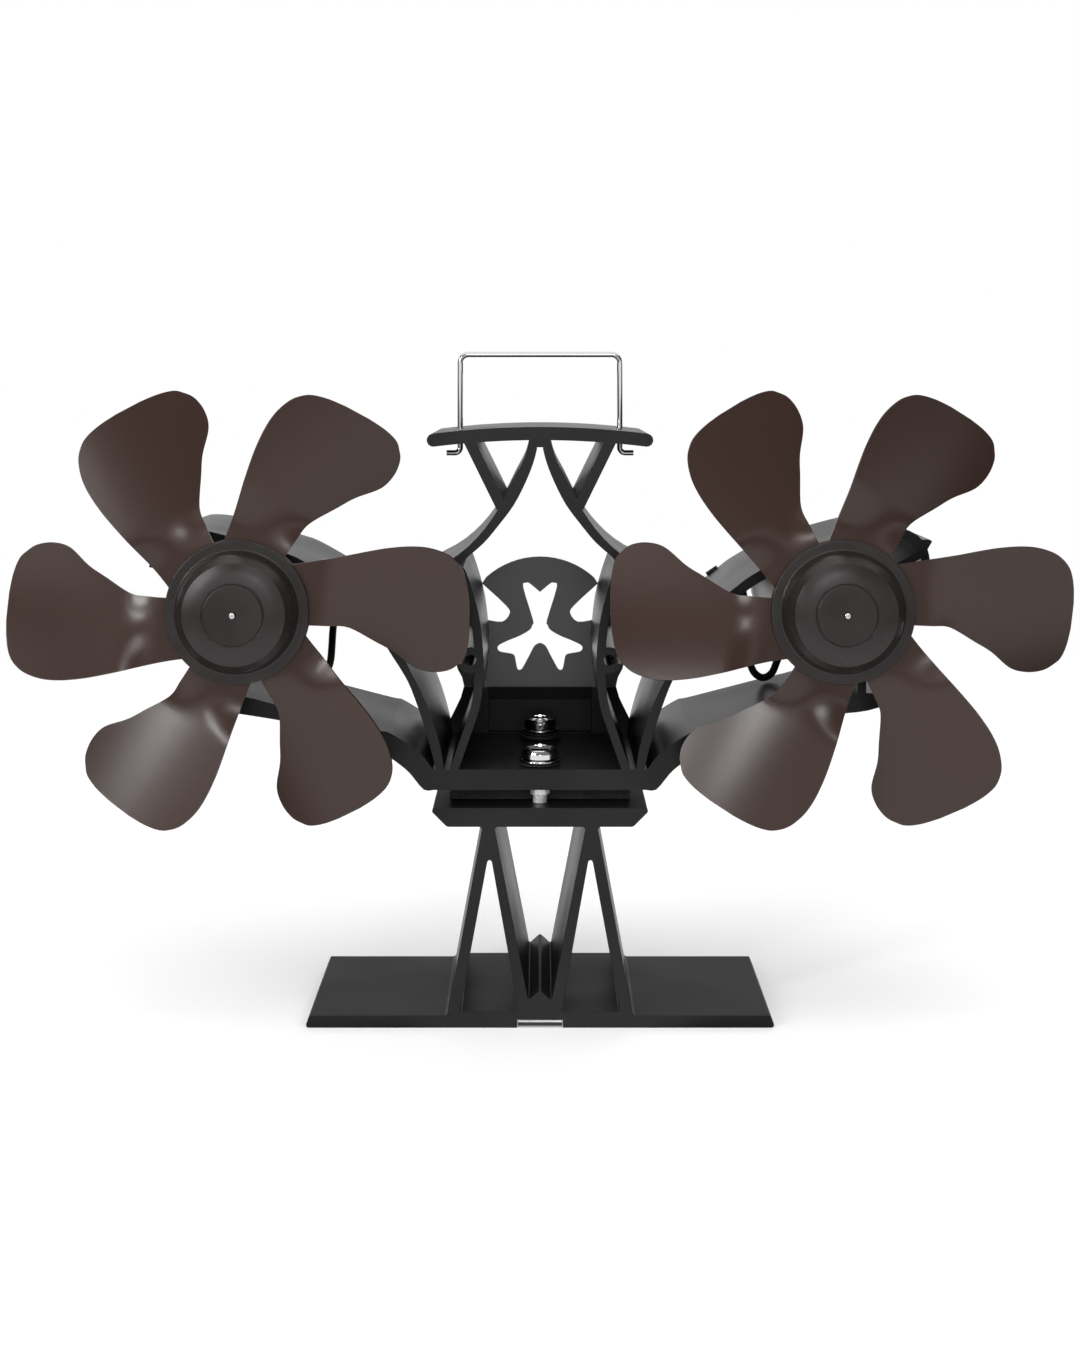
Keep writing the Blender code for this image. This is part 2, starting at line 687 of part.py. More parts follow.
def bar_outline():
    end_radius = BAR_THICKNESS / 2
    reach = BAR_WIDTH / 2 - end_radius
    places = [reach * k / BAR_STEPS for k in range(-BAR_STEPS, BAR_STEPS + 1)]
    top = [(x, bar_height(x)) for x in places]
    centre_z = bar_height(reach) - end_radius
    nose = [(reach + end_radius * math.sin(math.pi * k / ROUND_END_STEPS),
             centre_z + end_radius * math.cos(math.pi * k / ROUND_END_STEPS))
            for k in range(1, ROUND_END_STEPS)]
    under = [(x, z - BAR_THICKNESS) for x, z in reversed(top)]
    return top + nose + under + [(-x, z) for x, z in reversed(nose)]


def brace_outline():
    valley_x, valley_z = valley()
    foot = (BRACE_FOOT_SHARE * valley_x, valley_z + BRACE_FOOT_RISE_SHARE * (BAR_UNDERSIDE - valley_z))
    head = (BRACE_HEAD_REACH, bar_height(BRACE_HEAD_REACH) - BAR_THICKNESS / 2)
    return stripe(foot, head, BRACE_THICKNESS)


def stem_outline():
    """Short piece that joins both upper legs under the bar."""
    valley_x, valley_z = valley()
    rise = BAR_UNDERSIDE - valley_z
    reach = LEG_OUTER_SHARES[0][0] * valley_x
    return [(reach, BAR_TOP - BAR_THICKNESS / 2), (-reach, BAR_TOP - BAR_THICKNESS / 2),
            (-reach, valley_z + STEM_SHARE * rise), (reach, valley_z + STEM_SHARE * rise)]


def make_heatsink(material):
    half = FLOOR_WIDTH / 2
    floor = [(-half, FLOOR_BOTTOM), (half, FLOOR_BOTTOM), (half, FLOOR_TOP), (-half, FLOOR_TOP)]
    heatsink = prism("heatsink", floor, [], FRONT, BACK, material)
    right = [wall_outline(), leg_outline(), strut_outline(), arch_outline(), arm_outline(), brace_outline(),
             fin_outline(), web_outline(), circle(PORT_X, PORT_Z, PORT_OUTER_RADIUS, SMALL_ROUND_STEPS),
             circle(MOTOR_X, MOTOR_HEIGHT, RING_RADIUS, RING_STEPS)]
    outlines = right + [mirrored(outline) for outline in right] + [bar_outline(), stem_outline()]
    members = [prism("member", outline, [], FRONT, BACK, None) for outline in outlines]
    combine(heatsink, members, "UNION")
    slot_end = PORT_X + PORT_OUTER_RADIUS + OVERRUN
    slot = [(PORT_X, PORT_Z - PORT_SLOT / 2), (slot_end, PORT_Z - PORT_SLOT / 2),
            (slot_end, PORT_Z + PORT_SLOT / 2), (PORT_X, PORT_Z + PORT_SLOT / 2)]
    slit = stripe(from_motor(RING_RADIUS - RING_WALL - OVERRUN, RING_SLIT_ANGLE),
                  from_motor(RING_RADIUS + OVERRUN, RING_SLIT_ANGLE), RING_SLIT)
    cuts = [circle(PORT_X, PORT_Z, PORT_BORE_RADIUS, SMALL_ROUND_STEPS), slot, slit,
            circle(MOTOR_X, MOTOR_HEIGHT, RING_RADIUS - RING_WALL, RING_STEPS)]
    tools = [prism("cutter", outline, [], FRONT - OVERRUN, BACK + OVERRUN, None)
             for cut in cuts for outline in (cut, mirrored(cut))]
    combine(heatsink, tools, "DIFFERENCE")
    bores = [hole_cutter(COLLAR_SLEEVE_RADIUS + GAP, FLOOR_BOTTOM - OVERRUN, FLOOR_TOP + OVERRUN, 0, y)
             for _, y in bolt_places()]
    bores += [hole_cutter(HANDLE_HOLE_RADIUS, BAR_UNDERSIDE - OVERRUN * 2, BAR_TOP + OVERRUN, x, 0)
              for x in (-HANDLE_WIDTH / 2, HANDLE_WIDTH / 2)]
    combine(heatsink, bores, "DIFFERENCE")
    return heatsink


def ring_profile(inner, outer, bottom, top):
    return [(outer, bottom), (outer, top), (inner, top), (inner, bottom)]


def make_strip_screw(material):
    raised_bottom = GROOVE_HEIGHT - GAP - STRIP_THICKNESS
    head_top = raised_bottom - STRIP_HEAD_GAP
    profile = [(0, head_top - STRIP_HEAD_HEIGHT), (STRIP_HEAD_RADIUS * 2 / 3, head_top - STRIP_HEAD_HEIGHT),
               (STRIP_HEAD_RADIUS, head_top - STRIP_HEAD_HEIGHT / 2), (STRIP_HEAD_RADIUS, head_top),
               (STRIP_SCREW_RADIUS, head_top), (STRIP_SCREW_RADIUS, head_top + STRIP_SCREW_LENGTH),
               (0, head_top + STRIP_SCREW_LENGTH)]
    return turned("bimetal_screw", profile, SMALL_ROUND_STEPS, False, upward(0, strip_screw_y(), 0), material)


def rectangle(width, depth):
    x = width / 2
    y = depth / 2
    return [(-x, -y), (x, -y), (x, y), (-x, y)]


def module_levels():
    """Bottom and top of lower pad, module and upper pad."""
    pad = (STACK_HEIGHT - MODULE_THICKNESS - 4 * GAP) / 2
    level = BLOCK_TOP + GAP
    levels = []
    for thickness in (pad, MODULE_THICKNESS, pad):
        levels.append((level, level + thickness))
        level += thickness + GAP
    return levels


def make_module_stack(materials):
    footprint = rectangle(MODULE_WIDTH, MODULE_WIDTH)
    names = (("lower_pad", "pad"), ("thermoelectric_module", "ceramic"), ("upper_pad", "pad"))
    for (name, slot), (bottom, top) in zip(names, module_levels()):
        upright(name, footprint, [], bottom, top, materials[slot])
    depth = DEPTH - 2 * (BOLT_INSET + COLLAR_RADIUS + GAP)
    opening = rectangle(MODULE_WIDTH + 2 * SEAL_MARGIN, MODULE_WIDTH + 2 * SEAL_MARGIN)
    seal = upright("module_seal", rectangle(SEAL_WIDTH, depth), [opening],
                   BLOCK_TOP + GAP, FLOOR_BOTTOM - GAP, materials["seal"])
    hole = [(0, 0), (LEAD_RADIUS + GAP, 0), (LEAD_RADIUS + GAP, DEPTH / 2), (0, DEPTH / 2)]
    cutters = [turned("cutter", hole, SMALL_ROUND_STEPS, False, backward(x, 0, stack_middle()), None)
               for x in (-LEAD_START, LEAD_START)]
    combine(seal, cutters, "DIFFERENCE")


def stack_middle():
    return BLOCK_TOP + STACK_HEIGHT / 2


def make_clamps(materials):
    """Each bolt with its washer, insulating ring and flanged collar; the rear one stands on a bush."""
    for side, y in bolt_places():
        level = FLOOR_TOP + GAP
        bore = BOLT_RADIUS + GAP
        if side == "rear":
            bush = ring_profile(bore, BUSH_RADIUS, level, level + BUSH_HEIGHT)
            turned("rear_bush", bush, ROUND_STEPS, True, upward(0, y, 0), materials["seal"])
            level += BUSH_HEIGHT + GAP
        for name, radius, height, slot in (("_insulator", INSULATOR_RADIUS, INSULATOR_HEIGHT, "seal"),
                                           ("_washer", WASHER_RADIUS, WASHER_THICKNESS, "chrome")):
            turned(side + name, ring_profile(bore, radius, level, level + height),
                   ROUND_STEPS, True, upward(0, y, 0), materials[slot])
            level += height + GAP
        make_bolt(side, y, level, materials["chrome"])
        flange_top = FLOOR_BOTTOM - GAP
        collar = [(COLLAR_RADIUS, flange_top - COLLAR_FLANGE), (COLLAR_RADIUS, flange_top),
                  (COLLAR_SLEEVE_RADIUS, flange_top), (COLLAR_SLEEVE_RADIUS, FLOOR_TOP - GAP),
                  (bore, FLOOR_TOP - GAP), (bore, flange_top - COLLAR_FLANGE)]
        turned(side + "_collar", collar, SMALL_ROUND_STEPS, True, upward(0, y, 0), materials["chrome"])


def make_bolt(side, y, seat, material):
    top = seat + BOLT_HEAD_HEIGHT
    rise = BOLT_HEAD_HEIGHT - BOLT_RIM_HEIGHT
    dome = [(radius, top - height) for radius, height in
            dome_profile(BOLT_FACE_RADIUS, BOLT_HEAD_RADIUS, rise, INNER_DOME_STEPS)]
    profile = [(0, BLOCK_BOTTOM + GAP), (BOLT_RADIUS, BLOCK_BOTTOM + GAP), (BOLT_RADIUS, seat),
               (BOLT_HEAD_RADIUS, seat)] + list(reversed(dome)) + [(0, top)]
    bolt = turned(side + "_bolt", profile, ROUND_STEPS, False, upward(0, y, 0), material)
    cross = []
    for width, length in ((RECESS_WIDTH, RECESS_LENGTH), (RECESS_LENGTH, RECESS_WIDTH)):
        bar = upright("cutter", rectangle(width, length), [], top - RECESS_DEPTH, top + OVERRUN, None)
        bar.data.transform(Matrix.Translation((0, y, 0)))
        cross.append(bar)
    combine(bolt, cross, "DIFFERENCE")


def shield_outline():
    right = spread(SHIELD_SHARES, 0, SHIELD_EAR_REACH, SHIELD_BOTTOM, SHIELD_TOP - SHIELD_BOTTOM)
    edge = [right[0]] + smooth_curve(right[1:5], 3) + smooth_curve(right[5:], EDGE_STEPS)
    centre_z = SHIELD_TOP - SHIELD_DOME_RADIUS
    shoulder = math.atan2(edge[-1][1] - centre_z, edge[-1][0])
    dome = []
    for k in range(1, SHIELD_DOME_STEPS):
        angle = shoulder + (math.pi / 2 - shoulder) * k / SHIELD_DOME_STEPS
        dome.append((SHIELD_DOME_RADIUS * math.cos(angle), centre_z + SHIELD_DOME_RADIUS * math.sin(angle)))
    half = edge + dome
    return half + [(0, SHIELD_TOP)] + mirrored(half)


def ornament_outline():
    right = spread(ORNAMENT_SHARES, 0, ORNAMENT_REACH, ORNAMENT_BOTTOM, ORNAMENT_HEIGHT)
    curve = smooth_curve(right, EDGE_STEPS)
    return curve + [(-x, z) for x, z in reversed(curve[1:-1])]


def make_shield(material):
    """Sheet on the rear face, with the fork cut-out and a pocket pressed backwards at the foot."""
    face = BACK + GAP
    shield = prism("rear_shield", shield_outline(), [ornament_outline()], face, face + SHEET, material)
    half = POCKET_WIDTH / 2
    mouth = [(-half, SHIELD_BOTTOM - OVERRUN), (half, SHIELD_BOTTOM - OVERRUN), (half, POCKET_TOP),
             (-half, POCKET_TOP)]
    opening = prism("cutter", mouth, [], face - OVERRUN, face + SHEET + OVERRUN, None)
    combine(shield, [opening], "DIFFERENCE")
    rear = face + POCKET_DEPTH
    fold = POCKET_TOP - POCKET_FOLD
    side = [(face, POCKET_TOP + SHEET), (face, POCKET_TOP), (rear, fold), (rear, SHIELD_BOTTOM),
            (rear + SHEET, SHIELD_BOTTOM), (rear + SHEET, fold + SHEET / 2),
            (face + SHEET, POCKET_TOP + SHEET)]
    lid = prism("member", side, [], -half, half, None)
    lid.data.transform(Matrix.Rotation(math.radians(90), 4, "Z"))
    cheek = [(face, POCKET_TOP), (face, SHIELD_BOTTOM), (rear + SHEET, SHIELD_BOTTOM), (rear + SHEET, fold)]
    members = [lid]
    for inner in (-half - SHEET, half - SHEET / 2):
        wall = prism("member", cheek, [], inner, inner + SHEET * 3 / 2, None)
        wall.data.transform(Matrix.Rotation(math.radians(90), 4, "Z"))
        members.append(wall)
    combine(shield, members, "UNION")
    bore = [(0, face - OVERRUN), (SHIELD_SCREW_RADIUS + GAP, face - OVERRUN),
            (SHIELD_SCREW_RADIUS + GAP, face + SHEET + OVERRUN), (0, face + SHEET + OVERRUN)]
    holes = [turned("cutter", bore, SMALL_ROUND_STEPS, False, backward(x, 0, PORT_Z), None)
             for x in (-PORT_X, PORT_X)]
    combine(shield, holes, "DIFFERENCE")


def make_shield_screw(name, x, material):
    seat = BACK + GAP + SHEET + GAP
    end = seat + SHIELD_HEAD_HEIGHT
    profile = [(0, seat - SHIELD_SCREW_LENGTH), (SHIELD_SCREW_RADIUS, seat - SHIELD_SCREW_LENGTH),
               (SHIELD_SCREW_RADIUS, seat), (SHIELD_HEAD_RADIUS, seat),
               (SHIELD_HEAD_RADIUS, seat + SHIELD_HEAD_HEIGHT / 2),
               (SHIELD_HEAD_RADIUS * 2 / 3, end), (0, end)]
    turned(name, profile, SMALL_ROUND_STEPS, False, backward(x, 0, PORT_Z), material)


def tube(name, points, radius, sides, material):
    """Round wire along the points, ends closed."""
    curve = bpy.data.curves.new(name, "CURVE")
    curve.dimensions = "3D"
    curve.bevel_depth = radius
    curve.bevel_resolution = sides
    curve.use_fill_caps = True
    spline = curve.splines.new("POLY")
    spline.points.add(len(points) - 1)
    for target, point in zip(spline.points, points):
        target.co = (*point, 1)
    curve.materials.append(material)
    obj = bpy.data.objects.new(name, curve)
    bpy.context.scene.collection.objects.link(obj)
    return obj


def make_handle(material):
    """Wire bail through both holes of the bar, its feet turned outward under it."""
    reach = HANDLE_WIDTH / 2
    foot = BAR_UNDERSIDE - HANDLE_FOOT_DROP
    top = BAR_TOP + HANDLE_RISE
    foot_bend = WIRE_RADIUS * 2
    corners = [
        (reach + HANDLE_FOOT, foot, 0),
        (reach, foot, foot_bend),
        (reach, top, HANDLE_BEND),
        (-reach, top, HANDLE_BEND),
        (-reach, foot, foot_bend),
        (-reach - HANDLE_FOOT, foot, 0),
    ]
    return tube("handle", [(x, 0, z) for x, z in rounded_outline(corners)], WIRE_RADIUS, 2, material)


def make_motor(side, x, materials):
    """Can with end cap, front bush and solder tags, held in its ring by a resilient sleeve."""
    front = FRONT + CAN_FRONT_INSET
    rear = front + CAN_LENGTH
    bore = SHAFT_RADIUS + GAP
    place = backward(x, 0, MOTOR_HEIGHT)
    can = [(bore, front), (CAN_RADIUS - CAN_EDGE, front), (CAN_RADIUS, front + CAN_EDGE),
           (CAN_RADIUS, rear), (bore, rear)]
    turned(side + "_motor", can, ROUND_STEPS, True, place, materials["motor"])
    cap_radius = CAN_RADIUS - CAN_EDGE
    cap = [(0, rear + GAP), (cap_radius, rear + GAP), (cap_radius, rear + CAP_LENGTH - CAN_EDGE),
           (cap_radius - CAN_EDGE, rear + CAP_LENGTH), (0, rear + CAP_LENGTH)]
    turned(side + "_motor_cap", cap, ROUND_STEPS, False, place, materials["plastic"])
    nose_end = front - GAP
    nose_bore = SHAFT_RADIUS + SHAFT_CLEARANCE
    nose = ring_profile(nose_bore, BUSH_NOSE_RADIUS, nose_end - BUSH_NOSE_LENGTH, nose_end)
    turned(side + "_motor_bush", nose, SMALL_ROUND_STEPS, True, place, materials["brass"])
    sleeve = ring_profile(CAN_RADIUS + GAP, RING_RADIUS - RING_WALL - GAP, front, rear)
    turned(side + "_sleeve", sleeve, ROUND_STEPS, True, place, materials["rubber"])
    make_terminals(side, x, rear + CAP_LENGTH + GAP, materials["brass"])


def terminal_x(x):
    """Middle of the solder tags, on the side of the motor that faces the frame's middle."""
    return x - math.copysign(TERMINAL_INSET, x)


def make_terminals(side, x, front, material):
    middle = terminal_x(x)
    half = TERMINAL_WIDTH / 2
    tags = []
    for offset in (-TERMINAL_SPACING / 2, TERMINAL_SPACING / 2):
        left = middle + offset - TERMINAL_THICKNESS / 2
        outline = [(left, MOTOR_HEIGHT - half), (left + TERMINAL_THICKNESS, MOTOR_HEIGHT - half),
                   (left + TERMINAL_THICKNESS, MOTOR_HEIGHT + half), (left, MOTOR_HEIGHT + half)]
        tags.append(outline)
    bridge = [(middle - TERMINAL_SPACING / 2, MOTOR_HEIGHT - half / 2),
              (middle + TERMINAL_SPACING / 2, MOTOR_HEIGHT - half / 2),
              (middle + TERMINAL_SPACING / 2, MOTOR_HEIGHT + half / 2),
              (middle - TERMINAL_SPACING / 2, MOTOR_HEIGHT + half / 2)]
    terminals = prism(side + "_terminals", bridge, [], front, front + TERMINAL_BLOCK, material)
    members = [prism("member", tag, [], front, front + TERMINAL_LENGTH, None) for tag in tags]
    combine(terminals, members, "UNION")


def hub_front():
    return blade_plane_y() - BLADE_SHEET / 2 - GAP - HUB_FLANGE_THICKNESS - HUB_DOME_DEPTH


def blade_plane_y():
    return FRONT - BLADE_PLANE


def dome_profile(face_radius, dome_radius, depth, steps):
    """Quarter-round shoulder from the flat face to the widest ring."""
    return [(face_radius + (dome_radius - face_radius) * math.sin(math.pi / 2 * k / steps),
             depth * (1 - math.cos(math.pi / 2 * k / steps)))
            for k in range(steps + 1)]


def make_hub(side, x, material):
    front = hub_front()
    lip = HUB_WALL / 4
    outer = [(radius, front + height) for radius, height in
             dome_profile(HUB_FACE_RADIUS + lip * 2, HUB_DOME_RADIUS, HUB_DOME_DEPTH, DOME_STEPS)]
    inner = [(radius, front + height) for radius, height in
             dome_profile(HUB_FACE_RADIUS - HUB_WALL / 2, HUB_DOME_RADIUS - HUB_WALL,
                          HUB_DOME_DEPTH - HUB_WALL, INNER_DOME_STEPS)]
    flange_front = front + HUB_DOME_DEPTH
    flange_back = flange_front + HUB_FLANGE_THICKNESS
    bore = SHAFT_RADIUS + SHAFT_CLEARANCE
    boss_end = blade_plane_y() + BLADE_SHEET / 2 + HUB_BOSS_PROUD
    profile = [(bore, front - lip), (HUB_FACE_RADIUS - lip, front - lip), (HUB_FACE_RADIUS, front)]
    profile += outer
    profile += [(HUB_FLANGE_RADIUS, flange_front), (HUB_FLANGE_RADIUS, flange_back),
                (HUB_DOME_RADIUS - HUB_WALL, flange_back)]
    profile += [(radius, height + HUB_WALL) for radius, height in reversed(inner)]
    profile += [(HUB_BOSS_RADIUS, front + HUB_WALL), (HUB_BOSS_RADIUS, boss_end), (bore, boss_end)]
    return turned(side + "_hub", profile, HUB_STEPS, True, backward(x, 0, MOTOR_HEIGHT), material)


def make_shaft(side, x, material):
    start = hub_front() - SHAFT_PROUD
    end = FRONT + CAN_FRONT_INSET + CAN_LENGTH - GAP
    tip = SHAFT_RADIUS / 3
    profile = [(0, start), (SHAFT_RADIUS - tip, start), (SHAFT_RADIUS, start + tip), (SHAFT_RADIUS, end),
               (0, end)]
    return turned(side + "_shaft", profile, SMALL_ROUND_STEPS, False, backward(x, 0, MOTOR_HEIGHT), material)


def blade_depth(reach, across):
    """How far a point of the sheet lies behind the disc's plane."""
    share = (reach - DISC_RADIUS) / (BLADE_TWIST_END - DISC_RADIUS)
    share = min(max(share, 0), 1)
    ramp = share * share * (3 - 2 * share)
    offset = across - BLADE_AXIS_SHARE * BLADE_RADIUS
    camber = BLADE_CAMBER_SHARE * offset * offset / BLADE_RADIUS
    return ramp * (camber - math.tan(BLADE_PITCH) * offset)


def add_blade(bm, angle):
    """One twisted blade as a closed sheet, its root inside the disc."""
    stations = smooth_curve(BLADE_SHARES, 2)
    layers = []
    for shift in (-BLADE_SHEET / 2, BLADE_SHEET / 2):
        layer = []
        for reach_share, low_share, high_share in stations:
            reach = reach_share * BLADE_RADIUS
            low = low_share * BLADE_RADIUS
            high = high_share * BLADE_RADIUS
            row = []
            for k in range(CHORD_STEPS + 1):
                across = low + (high - low) * k / CHORD_STEPS
                x = reach * math.cos(angle) - across * math.sin(angle)
                z = reach * math.sin(angle) + across * math.cos(angle)
                row.append(bm.verts.new((x, blade_depth(reach, across) + shift, z)))
            layer.append(row)
        layers.append(layer)
    front, back = layers
    last = len(stations) - 1
    for i in range(last):
        for k in range(CHORD_STEPS):
            bm.faces.new((front[i][k], front[i + 1][k], front[i + 1][k + 1], front[i][k + 1]))
            bm.faces.new((back[i][k], back[i][k + 1], back[i + 1][k + 1], back[i + 1][k]))
        for k in (0, CHORD_STEPS):
            bm.faces.new((front[i][k], back[i][k], back[i + 1][k], front[i + 1][k]))
    for i in (0, last):
        for k in range(CHORD_STEPS):
            bm.faces.new((front[i][k], back[i][k], back[i][k + 1], front[i][k + 1]))


def make_propeller(side, x, material):
    """Pressed sheet: a disc and six blades, with a round hole for the hub's boss."""
    half = BLADE_SHEET / 2
    bore = HUB_BOSS_RADIUS + GAP
    disc = [(bore, -half), (DISC_RADIUS, -half), (DISC_RADIUS, half), (bore, half)]
    propeller = turned(side + "_propeller", disc, HUB_STEPS, True, backward(0, 0, 0), material)
    blades = []
    for k in range(BLADE_COUNT):
        bm = bmesh.new()
        add_blade(bm, math.tau * k / BLADE_COUNT)
        blades.append(add_object("member", bm, None))
    combine(propeller, blades, "UNION")
    propeller.location = (x, blade_plane_y(), MOTOR_HEIGHT)
    return propeller


def lead_route(x):
    """Centre line of the lead: module, rear of floor, strut and arch, loop on the arm, ring's slit, motor tags."""
    sign = math.copysign(1, x)
    return [(sign * across, along, up) for across, along, up in smooth_curve(LEAD_POINTS, LEAD_STEPS)]


def make_clip(side, x, material):
    """Saddle that holds the lead on the rear of the arch."""
    inner = LEAD_RADIUS + GAP
    outer = inner + CLIP_WALL
    depth = LEAD_POINTS[CLIP_POINT][1] - BACK - GAP
    arc = [math.pi * k / CLIP_STEPS for k in range(CLIP_STEPS + 1)]
    outline = [(outer * math.cos(angle), outer * math.sin(angle)) for angle in arc]
    outline += [(-outer, -depth), (-inner, -depth)]
    outline += [(inner * math.cos(angle), inner * math.sin(angle)) for angle in reversed(arc)]
    outline += [(inner, -depth), (outer, -depth)]
    clip = prism(side + "_clip", outline, [], -CLIP_LENGTH / 2, CLIP_LENGTH / 2, material)
    across, along, up = LEAD_POINTS[CLIP_POINT]
    after = LEAD_POINTS[CLIP_POINT + 1]
    before = LEAD_POINTS[CLIP_POINT - 1]
    sign = math.copysign(1, x)
    run = Vector((sign * (after[0] - before[0]), 0, after[2] - before[2])).normalized()
    out = Vector((0, 1, 0))
    side_way = out.cross(run)
    turn = Matrix((side_way, run, out)).transposed().to_4x4()
    clip.data.transform(Matrix.Translation((sign * across, along, up)) @ turn)
    if turn.determinant() < 0:
        clip.data.flip_normals()


def build():
    clear_scene()
    materials = {
        "frame": make_material("satin_black_aluminium", (0.030, 0.029, 0.029), 0.6, 0.42),
        "chrome": make_material("chrome", (0.75, 0.75, 0.76), 1.0, 0.12),
        "wire": make_material("bright_wire", (0.62, 0.62, 0.63), 1.0, 0.16),
        "strip": make_material("bimetal", (0.33, 0.30, 0.27), 1.0, 0.40),
        "sheet": make_material("black_sheet", (0.035, 0.032, 0.031), 0.2, 0.38),
        "hub": make_material("black_hub", (0.030, 0.028, 0.027), 0.1, 0.32),
        "pad": make_material("graphite_pad", (0.08, 0.08, 0.085), 0.0, 0.70),
        "ceramic": make_material("white_ceramic", (0.78, 0.77, 0.74), 0.0, 0.50),
        "seal": make_material("black_seal", (0.025, 0.025, 0.026), 0.0, 0.75),
        "motor": make_material("plated_can", (0.55, 0.55, 0.55), 1.0, 0.30),
        "plastic": make_material("dark_plastic", (0.04, 0.04, 0.04), 0.0, 0.50),
        "rubber": make_material("black_rubber", (0.02, 0.02, 0.02), 0.0, 0.80),
        "brass": make_material("brass", (0.70, 0.55, 0.28), 1.0, 0.35),
        "steel": make_material("bright_steel", (0.70, 0.70, 0.70), 1.0, 0.18),
        "lead": make_material("lead_cover", (0.02, 0.02, 0.02), 0.0, 0.55),
    }
    make_base(materials["frame"])
    strip = make_strip(materials["strip"])
    make_axis("strip_axis", (0, strip_screw_y(), GROOVE_HEIGHT - GAP - STRIP_THICKNESS / 2), [strip])
    make_strip_screw(materials["steel"])
    make_module_stack(materials)
    make_heatsink(materials["frame"])
    make_clamps(materials)
    make_shield(materials["sheet"])
    handle = make_handle(materials["wire"])
    make_axis("handle_axis", (0, 0, BAR_TOP), [handle])
    for side, x in (("left", -MOTOR_X), ("right", MOTOR_X)):
        make_shield_screw(side + "_shield_screw", math.copysign(PORT_X, x), materials["steel"])
        make_motor(side, x, materials)
        spinning = [make_shaft(side, x, materials["steel"]), make_hub(side, x, materials["hub"]),
                    make_propeller(side, x, materials["sheet"])]
        make_axis(side + "_fan_axis", (x, blade_plane_y(), MOTOR_HEIGHT), spinning)
        tube(side + "_lead", lead_route(x), LEAD_RADIUS, 2, materials["lead"])
        make_clip(side, x, materials["plastic"])
    centre_on_footprint()


build()
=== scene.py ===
"""Looks of the stove fan with two propellers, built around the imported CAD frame."""

import json
import math

import bmesh
import bpy
from mathutils import Matrix, Vector


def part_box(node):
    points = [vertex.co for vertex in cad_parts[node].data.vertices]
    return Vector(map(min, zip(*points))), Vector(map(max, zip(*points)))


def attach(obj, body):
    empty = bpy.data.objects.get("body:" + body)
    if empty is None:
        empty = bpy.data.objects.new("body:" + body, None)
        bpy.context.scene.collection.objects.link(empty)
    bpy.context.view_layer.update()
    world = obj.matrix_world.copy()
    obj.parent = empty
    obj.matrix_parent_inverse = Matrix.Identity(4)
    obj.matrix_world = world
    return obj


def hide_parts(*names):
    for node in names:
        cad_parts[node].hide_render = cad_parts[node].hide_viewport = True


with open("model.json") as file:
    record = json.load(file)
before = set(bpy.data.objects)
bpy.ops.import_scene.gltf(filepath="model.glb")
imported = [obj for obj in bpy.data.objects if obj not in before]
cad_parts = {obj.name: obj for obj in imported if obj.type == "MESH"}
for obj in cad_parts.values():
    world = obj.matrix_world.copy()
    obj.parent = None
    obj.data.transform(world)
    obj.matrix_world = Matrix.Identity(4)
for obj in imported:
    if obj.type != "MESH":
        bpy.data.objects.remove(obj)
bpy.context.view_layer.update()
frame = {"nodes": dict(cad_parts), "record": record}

# Camera: level, in front of the frame's front face, in metres
CAMERA_DISTANCE = 0.683
CAMERA_HEIGHT = 0.2275
CAMERA_LENS = 52.27
CAMERA_SENSOR = 36.0
HORIZON_SHARE = 0.2222
CAMERA_CLIP = 0.01

# White floor: a glow lifts the shadow on it, and the shadow fades out between two distances
FLOOR_SIZE = 12.0
FLOOR_COLOUR = (0.80, 0.80, 0.80)
FLOOR_LIFT = 0.26
FLOOR_FADE = (0.35, 1.30)

# Light from all around on matt faces, in shares of white
DIFFUSE_STRENGTH = 0.45

# What polished and satin faces mirror, in shares of white
WALL_STRENGTH = 0.20
REAR_STRENGTH = 0.14
CARD_STRENGTH = 1.0
CEILING_STRENGTH = 1.1
POOL_STRENGTH = 0.95
FLAG_SHARE = 0.10

# Where the mirrored tones of the room change, as parts of a direction of length one
WALL_FOOT = (0.09, 0.15)
CARD_FOOT = (0.015, 0.04)
CARD_TOP = (0.15, 0.28)
CEILING_EDGE = (0.62, 0.72)
WALL_SIDE = (-0.55, -0.45)
FLAG_EDGE = (0.84, 0.94)

# Where the mirrored tones of the floor change, in metres
POOL_EDGE = (0.50, 0.90)
REAR_FLOOR_EDGE = (-0.10, 0.25)

# Lamps: name, place, width and height, watts, and whether polished faces mirror them
LAMP_TARGET = (0, 0, 0.12)
LAMPS = (
    ("key", (-1.38, -1.10, 0.66), (0.12, 0.55), 8, True),
    ("second_key", (-0.94, -1.42, 0.72), (0.12, 0.55), 5, True),
    ("top", (-0.2, -0.5, 1.9), (1.6, 1.2), 15, False),
    ("fill", (1.3, -1.0, 1.3), (0.8, 0.6), 8, False),
    ("rear", (0.3, 1.4, 1.3), (1.4, 0.6), 6, False),
    ("front", (0.05, -1.7, 0.62), (0.42, 0.30), 3, True),
)

# Depth of the grain, peel and drawing marks in the finishes
FRAME_GRAIN = 0.000003
SHEET_PEEL = 0.000015
SHIELD_GRAIN = 0.000004
HUB_GRAIN = 0.000008
CHROME_MARKS = 0.0000004
METAL_MARKS = 0.000006

